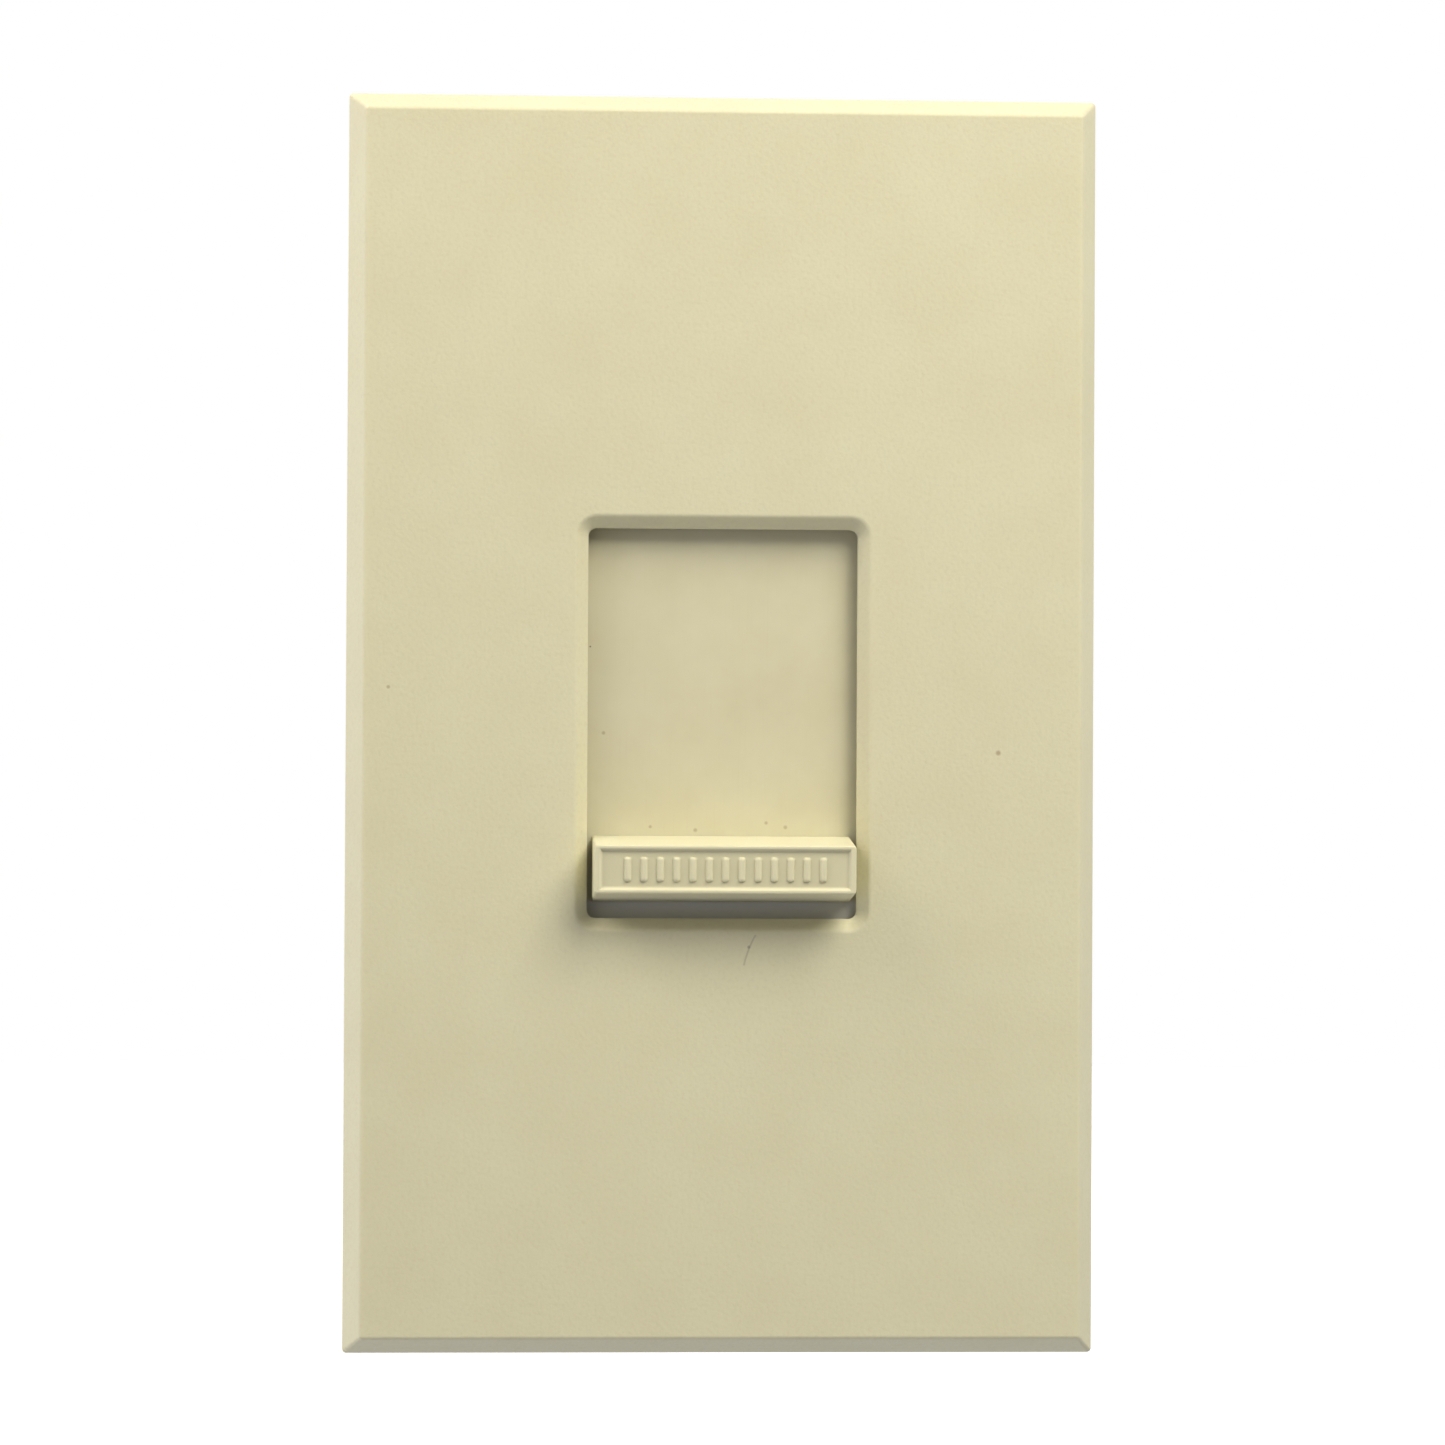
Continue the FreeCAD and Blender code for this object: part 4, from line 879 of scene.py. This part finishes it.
def bar_depth(x, z, half_x, half_z, sizes):
    """How far the finger bar's face lies behind its front: a pillowed rim, a sunk field and rounded ribs."""
    to_end = half_x - abs(x)
    to_side = half_z - abs(z)
    near = min(to_end, to_side)
    blend = sizes.corner
    if to_end < blend and to_side < blend:
        near = blend - math.hypot(blend - to_end, blend - to_side)
    near = max(near, 0.0)
    rim = sizes.rim
    round_over = rim * ROUND_SHARE
    if near < round_over:
        depth = round_over - math.sqrt(max(round_over**2 - (round_over - near) ** 2, 0.0))
    else:
        inside = min(to_end - (sizes.rim_ends - rim), to_side)
        depth = sizes.field_depth * smooth((inside - rim * DROP_START) / (rim * DROP_RUN))
    for k in range(sizes.ribs):
        middle = (k - (sizes.ribs - 1) / 2) * sizes.rib_pitch
        width = abs(x - middle) / (sizes.rib_width / 2)
        length = (abs(z) - sizes.rib_length / 2 + sizes.rib_width / 2) / (sizes.rib_width / 2)
        off = math.hypot(width, max(length, 0.0))
        if off < 1:
            depth -= sizes.rib_relief * math.sqrt(1 - off**2) ** 0.8
    return depth


class DIMMER_OT_finger_bar(bpy.types.Operator):
    """Builds the finger bar with its pillowed rim, grip ribs, stem and barbs"""

    bl_idname = "dimmer.finger_bar"
    bl_label = "Finger Bar"

    def execute(self, context):
        sizes = context.scene.dimmer.bar
        low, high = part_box("slider_knob")
        base_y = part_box("slide_shutter")[0].y
        centre_z = (low.z + high.z) / 2
        half_x = (high.x - low.x) / 2
        base_z = (high.z - low.z) / 2
        front_z = sizes.front_height / 2
        front_y = low.y
        stem = sizes.stem
        loops = []

        def add(points, y):
            loops.append([Vector((x, y(x, z) if callable(y) else y, z + centre_z)) for x, z in points])

        def barbed(points, reach):
            moved = []
            for x, z in points:
                if abs(x) > stem * 0.98 and abs(z) < BARB_HALF:
                    x = math.copysign(stem + reach, x)
                moved.append((x, z))
            return moved

        square = outline(stem, stem, STEM_CORNER)
        for share in (1.0, 0.5, 0.12):
            add(shrunk(square, stem, stem, share), high.y)
        add(shrunk(square, stem, stem, 0.03), high.y - TIP_BACK)
        add(square, high.y - TIP_SIDE)
        for drop, share in BARB_STEPS:
            add(barbed(square, sizes.barb * share), high.y - drop * MM)
        add(square, base_y + 0.1 * MM)
        add(square, base_y)
        base = outline(half_x, base_z, sizes.corner)
        add(shrunk(base, half_x, base_z, 0.01), base_y)
        add(base, base_y - 0.06 * MM)
        round_over = sizes.rim * ROUND_SHARE
        steps = 10
        for i in range(1, steps + 1):
            share = i / steps
            side = base_z + (front_z - base_z) * share
            add(outline(half_x, side, sizes.corner), base_y + (front_y + round_over - base_y) * share)
        front = outline(half_x, front_z, sizes.corner)

        def face_y(x, z):
            return front_y + bar_depth(x, z, half_x, front_z, sizes)

        field_loops = tuple(FIELD_START + FIELD_STEP * i for i in range(FIELD_LOOPS))
        for inset in RIM_LOOPS + field_loops:
            share = min(inset * MM / front_z, 1.0)
            add(shrunk(front, half_x, front_z, share), face_y)
        add(shrunk(front, half_x, front_z, 1.0), face_y)
        shell = bmesh.new()
        skin(shell, loops)
        finish = finish_for("finger_bar")
        make_piece("finger_bar", shell, finish, "slider", ["slider_knob"], 50)
        return {"FINISHED"}


# ------------------------------------------------------------------ other pieces


class DIMMER_OT_faceplate(bpy.types.Operator):
    """Finishes the faceplate"""

    bl_idname = "dimmer.faceplate"
    bl_label = "Faceplate"

    def execute(self, context):
        dress("faceplate")
        return {"FINISHED"}


class DIMMER_OT_slide(bpy.types.Operator):
    """Finishes the shutter, guide frame, carriage and potentiometer"""

    bl_idname = "dimmer.slide"
    bl_label = "Slide and Potentiometer"

    def execute(self, context):
        dress("slide_shutter", "slide_guide_frame", "slide_carriage", "wiper_contact", "switch_bridge")
        dress("potentiometer_frame", "resistor_strip", "carbon_track", "collector_rail", "switch_rails")
        return {"FINISHED"}


class DIMMER_OT_yoke(bpy.types.Operator):
    """Finishes the yoke, its screws and the insulating sheet"""

    bl_idname = "dimmer.yoke"
    bl_label = "Yoke and Screws"

    def execute(self, context):
        dress("mounting_yoke", "housing_screws", "insulating_sheet")
        return {"FINISHED"}


class DIMMER_OT_housing(bpy.types.Operator):
    """Finishes the rear housing and builds its soft grommets"""

    bl_idname = "dimmer.housing"
    bl_label = "Housing and Grommets"

    def execute(self, context):
        dress("rear_housing")
        sizes = context.scene.dimmer.grommet
        low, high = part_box("lead_grommets")
        radius = (high.z - low.z) / 2
        centre_z = (high.z + low.z) / 2
        spacing = high.x - radius
        depth = high.y - low.y
        edge = sizes.edge
        bore, barrel, flange = sizes.bore, sizes.barrel, sizes.flange
        profile = [(depth * 0.5, bore)]
        profile += arc((edge, bore + edge), edge, 270, 180, 6)
        profile += arc((edge, radius - edge), edge, 180, 90, 6)
        profile += arc((flange - edge / 2, radius - edge / 2), edge / 2, 90, 0, 4)
        profile += [(flange, barrel), (depth - flange, barrel)]
        profile += arc((depth - flange + edge / 2, radius - edge / 2), edge / 2, 180, 90, 4)
        profile += arc((depth - edge, radius - edge), edge, 90, 0, 6)
        profile += arc((depth - edge, bore + edge), edge, 0, -90, 6)
        shell = bmesh.new()
        for side in (-1, 1):
            turned(shell, profile, Vector((side * spacing, low.y, centre_z)), Y_AXIS, 96)
        finish = finish_for("black_rubber")
        make_piece("grommet_pair", shell, finish, "root", ["lead_grommets"])
        return {"FINISHED"}


# Segments of wire in each turn, and where a leg bends: how far before the wound end, and how far up.
TURN_SEGMENTS = 36
LEG_BEND = 3.2 * MM
LEG_KNEE = 1.5 * MM
LEG_RISE = 0.25 * MM


class DIMMER_OT_choke(bpy.types.Operator):
    """Winds the choke's wire round its core in one length"""

    bl_idname = "dimmer.choke"
    bl_label = "Choke"

    def execute(self, context):
        dress("choke_core")
        sizes = context.scene.dimmer.winding
        low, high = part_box("choke_core")
        wound_low, wound_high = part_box("choke_winding")
        centre = (low + high) / 2
        section = (high.y - low.y) / 2
        ring = (high.x - low.x) / 2 - section
        wire = sizes.wire
        reach = wound_high.x - ring - wire
        start = -math.pi / 2 + sizes.gap / 2
        sweep = 2 * math.pi - sizes.gap
        steps = sizes.turns * TURN_SEGMENTS
        path = []
        for i in range(steps + 1):
            share = i / steps
            round_core = start + sweep * share
            round_wire = 2 * math.pi * sizes.turns * share
            out = ring + reach * math.cos(round_wire)
            deep = reach * math.sin(round_wire)
            path.append(centre + Vector((out * math.cos(round_core), deep, out * math.sin(round_core))))
        foot_z = wound_low.z + wire
        leg_y = wound_low.y

        def leg(end):
            x = end.x
            bend_y = end.y - LEG_BEND
            knee = Vector((x, end.y - LEG_KNEE, foot_z + LEG_RISE))
            return [Vector((x, y, foot_z)) for y in (leg_y, (leg_y + bend_y) / 2, bend_y)] + [knee]

        path = leg(path[0]) + path + list(reversed(leg(path[-1])))
        shell = bmesh.new()
        tube(shell, path, wire, 10)
        finish = finish_for("enamelled_copper")
        make_piece("wound_wire", shell, finish, "root", ["choke_winding"], 60)
        return {"FINISHED"}


class DIMMER_OT_electronics(bpy.types.Operator):
    """Builds the resistors and finishes the board and its components"""

    bl_idname = "dimmer.electronics"
    bl_label = "Board and Components"

    def execute(self, context):
        dress("circuit_board", "triac_tab", "triac_body", "triac_leads", "triac_insulator", "triac_rivet")
        dress("trimmer_base", "trimmer_rotor", "lead_terminals", "filter_capacitor", "timing_capacitors")
        dress("diac", "component_legs")
        sizes = context.scene.dimmer.resistor
        low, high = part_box("resistors")
        radius = (high.y - low.y) / 2
        length = high.x - low.x
        cap, waist = sizes.cap, sizes.waist
        dip = radius * 0.35
        profile = [(0.0, 0.0), (0.0, radius - dip)]
        profile += arc((dip, radius - dip), dip, 180, 90, 6)
        shoulder = waist + (radius - waist) * 0.3
        profile += [(cap * 0.8, radius), (cap * 1.15, shoulder), (cap * 1.4, waist)]
        profile += [(length - along, r) for along, r in reversed(profile)]
        shell = bmesh.new()
        for centre_z in (low.z + radius, high.z - radius):
            turned(shell, profile, Vector((low.x, low.y + radius, centre_z)), X_AXIS, 48)
        finish = finish_for("resistor_tan")
        make_piece("resistor_pair", shell, finish, "root", ["resistors"])
        return {"FINISHED"}


# ------------------------------------------------------------------ studio

TARGET = Vector((0.0, 0.0, -0.004))
CAMERA_PLACE = Vector((-0.03238, -0.5155, -0.00872))
CAMERA_YAW = 0.0635
CAMERA_PITCH = 0.0173
CAMERA_ROLL = 0.0049
FLOOR_DROP = 0.045
FLOOR_RADIUS = 1.6
FLOOR_GLOW = 0.60
LEFT_PLACE = TARGET + Vector((-0.72, -0.26, 0.72)) * 0.45
LEFT_SIZE = 0.30
REAR_PLACE = Vector((-0.5, 1.0, 0.7))
REAR_SIZE = 0.7
DARKEST = 0.02


def soft_light(name, place, size, power, colour):
    """A round softbox that faces the object."""
    data = bpy.data.lights.new(name, "AREA")
    data.shape = "DISK"
    data.size = size
    data.energy = power
    data.color = linear_colour(colour)[:3]
    light = bpy.data.objects.new(name, data)
    light.location = place
    light.rotation_mode = "QUATERNION"
    light.rotation_quaternion = (TARGET - place).to_track_quat("-Z", "Y")
    bpy.context.scene.collection.objects.link(light)


def tent_world(studio):
    """A light tent with bright sides and a darker front, that the camera sees as plain white."""
    world = bpy.data.worlds.new("light_tent")
    bpy.context.scene.world = world
    world.use_nodes = True
    tree = world.node_tree
    tree.nodes.clear()
    place = add_node(tree, "ShaderNodeTexCoord").outputs["Generated"]
    parts = add_node(tree, "ShaderNodeSeparateXYZ", {0: place}).outputs
    facing = add_node(tree, "ShaderNodeMath", {0: parts[1], 1: 0.0}, operation="MINIMUM")
    ahead = add_node(tree, "ShaderNodeMath", {0: facing, 1: facing}, operation="MULTIPLY")
    aside = add_node(tree, "ShaderNodeMath", {0: parts[0], 1: parts[0]}, operation="MULTIPLY")
    level = {0: ahead, 1: -studio.front, 2: studio.tent}
    level = add_node(tree, "ShaderNodeMath", level, operation="MULTIPLY_ADD")
    for part, rise in ((aside, studio.walls), (parts[2], studio.roof), (parts[0], -studio.left)):
        level = add_node(tree, "ShaderNodeMath", {0: part, 1: rise, 2: level}, operation="MULTIPLY_ADD")
    level = add_node(tree, "ShaderNodeMath", {0: level, 1: DARKEST}, operation="MAXIMUM")
    tent = add_node(tree, "ShaderNodeBackground", {"Color": linear_colour("F5F5FF"), "Strength": level})
    white = add_node(tree, "ShaderNodeBackground", {"Color": linear_colour("FFFFFF"), "Strength": 1.0})
    seen = add_node(tree, "ShaderNodeLightPath").outputs["Is Camera Ray"]
    mix = add_node(tree, "ShaderNodeMixShader", {0: seen, 1: tent, 2: white})
    add_node(tree, "ShaderNodeOutputWorld", {"Surface": mix})


def floor_finish():
    """Opal acrylic over a light table: a plain pale floor, lit from below and above."""
    material = bpy.data.materials.new("opal_acrylic_light_table")
    material.use_nodes = True
    tree = material.node_tree
    tree.nodes.clear()
    glow = add_node(tree, "ShaderNodeEmission", {"Color": linear_colour("FFFFFF"), "Strength": FLOOR_GLOW})
    matt = add_node(tree, "ShaderNodeBsdfDiffuse", {"Color": linear_colour("EDEDED")})
    lit = add_node(tree, "ShaderNodeAddShader", {0: glow, 1: matt})
    add_node(tree, "ShaderNodeOutputMaterial", {"Surface": lit})
    return material


class DIMMER_OT_studio(bpy.types.Operator):
    """Sets up the pale floor, the soft lights, the light tent and the camera"""

    bl_idname = "dimmer.studio"
    bl_label = "Studio"

    def execute(self, context):
        studio = context.scene.dimmer.studio
        context.scene.view_settings.view_transform = "Standard"
        shell = bmesh.new()
        bmesh.ops.create_circle(shell, cap_ends=True, segments=96, radius=FLOOR_RADIUS)
        mesh = bpy.data.meshes.new("studio_floor")
        shell.to_mesh(mesh)
        shell.free()
        mesh.materials.append(floor_finish())
        floor = bpy.data.objects.new("studio_floor", mesh)
        floor.location = (0.0, 0.0, CAD_BOX[0].z - FLOOR_DROP)
        context.scene.collection.objects.link(floor)
        floor.visible_diffuse = False
        floor.visible_glossy = False
        floor.visible_shadow = False
        tent_world(studio)
        height, side = studio.key_height, studio.key_side
        flat = math.cos(height)
        key = Vector((flat * math.sin(side), -flat * math.cos(side), math.sin(height)))
        key = TARGET + key * studio.key_distance
        soft_light("key_softbox", key, studio.key_size, studio.key_power, "FFFAF0")
        soft_light("left_softbox", LEFT_PLACE, LEFT_SIZE, studio.fill_power, "FFF4E2")
        soft_light("rear_softbox", REAR_PLACE, REAR_SIZE, studio.back_power, "FFFFFF")
        data = bpy.data.cameras.new("camera")
        data.lens = studio.lens
        data.sensor_width = 36.0
        data.clip_start = 0.01
        data.clip_end = 20.0
        camera = bpy.data.objects.new("camera", data)
        level = Vector((math.sin(CAMERA_YAW), math.cos(CAMERA_YAW), 0.0)) * math.cos(CAMERA_PITCH)
        ahead = level + Vector((0.0, 0.0, math.sin(CAMERA_PITCH)))
        right = Vector((math.cos(CAMERA_YAW), -math.sin(CAMERA_YAW), 0.0))
        up = right.cross(ahead)
        turned_right = right * math.cos(CAMERA_ROLL) + up * math.sin(CAMERA_ROLL)
        turned_up = up * math.cos(CAMERA_ROLL) - right * math.sin(CAMERA_ROLL)
        turn = Matrix((turned_right, turned_up, -ahead)).transposed()
        camera.matrix_world = Matrix.Translation(CAMERA_PLACE) @ turn.to_4x4()
        context.scene.collection.objects.link(camera)
        context.scene.camera = camera
        return {"FINISHED"}


# ------------------------------------------------------------------ add-on

OPERATORS = (
    DIMMER_OT_faceplate,
    DIMMER_OT_finger_bar,
    DIMMER_OT_slide,
    DIMMER_OT_yoke,
    DIMMER_OT_housing,
    DIMMER_OT_choke,
    DIMMER_OT_electronics,
    DIMMER_OT_studio,
)


class DIMMER_PT_panel(bpy.types.Panel):
    """Lists the dimmer's settings and the steps that build it"""

    bl_idname = "DIMMER_PT_panel"
    bl_label = "Slide Dimmer Switch"
    bl_space_type = "VIEW_3D"
    bl_region_type = "UI"
    bl_category = "Dimmer"

    def draw(self, context):
        layout = self.layout
        for operator in OPERATORS:
            layout.operator(operator.bl_idname)
        settings = context.scene.dimmer
        for group in (settings.bar, settings.winding, settings.grommet, settings.resistor, settings.studio):
            box = layout.box()
            for name in group.__annotations__:
                box.prop(group, name)
        colours = layout.box()
        for name in SLOT_COLOURS:
            colours.prop(settings.colours, name)


GROUPS = (
    FinishColours,
    FingerBarSizes,
    WindingSizes,
    GrommetSizes,
    ResistorSizes,
    StudioSettings,
    DimmerSettings,
)


def register():
    """Registers the settings, operators and panel."""
    for cls in GROUPS + OPERATORS + (DIMMER_PT_panel,):
        bpy.utils.register_class(cls)
    bpy.types.Scene.dimmer = PointerProperty(type=DimmerSettings)


def unregister():
    """Takes away what register added."""
    del bpy.types.Scene.dimmer
    for cls in reversed(GROUPS + OPERATORS + (DIMMER_PT_panel,)):
        bpy.utils.unregister_class(cls)


def main():
    """Builds everything in order."""
    register()
    for operator in OPERATORS:
        group, name = operator.bl_idname.split(".")
        getattr(getattr(bpy.ops, group), name)()


if __name__ == "__main__":
    main()
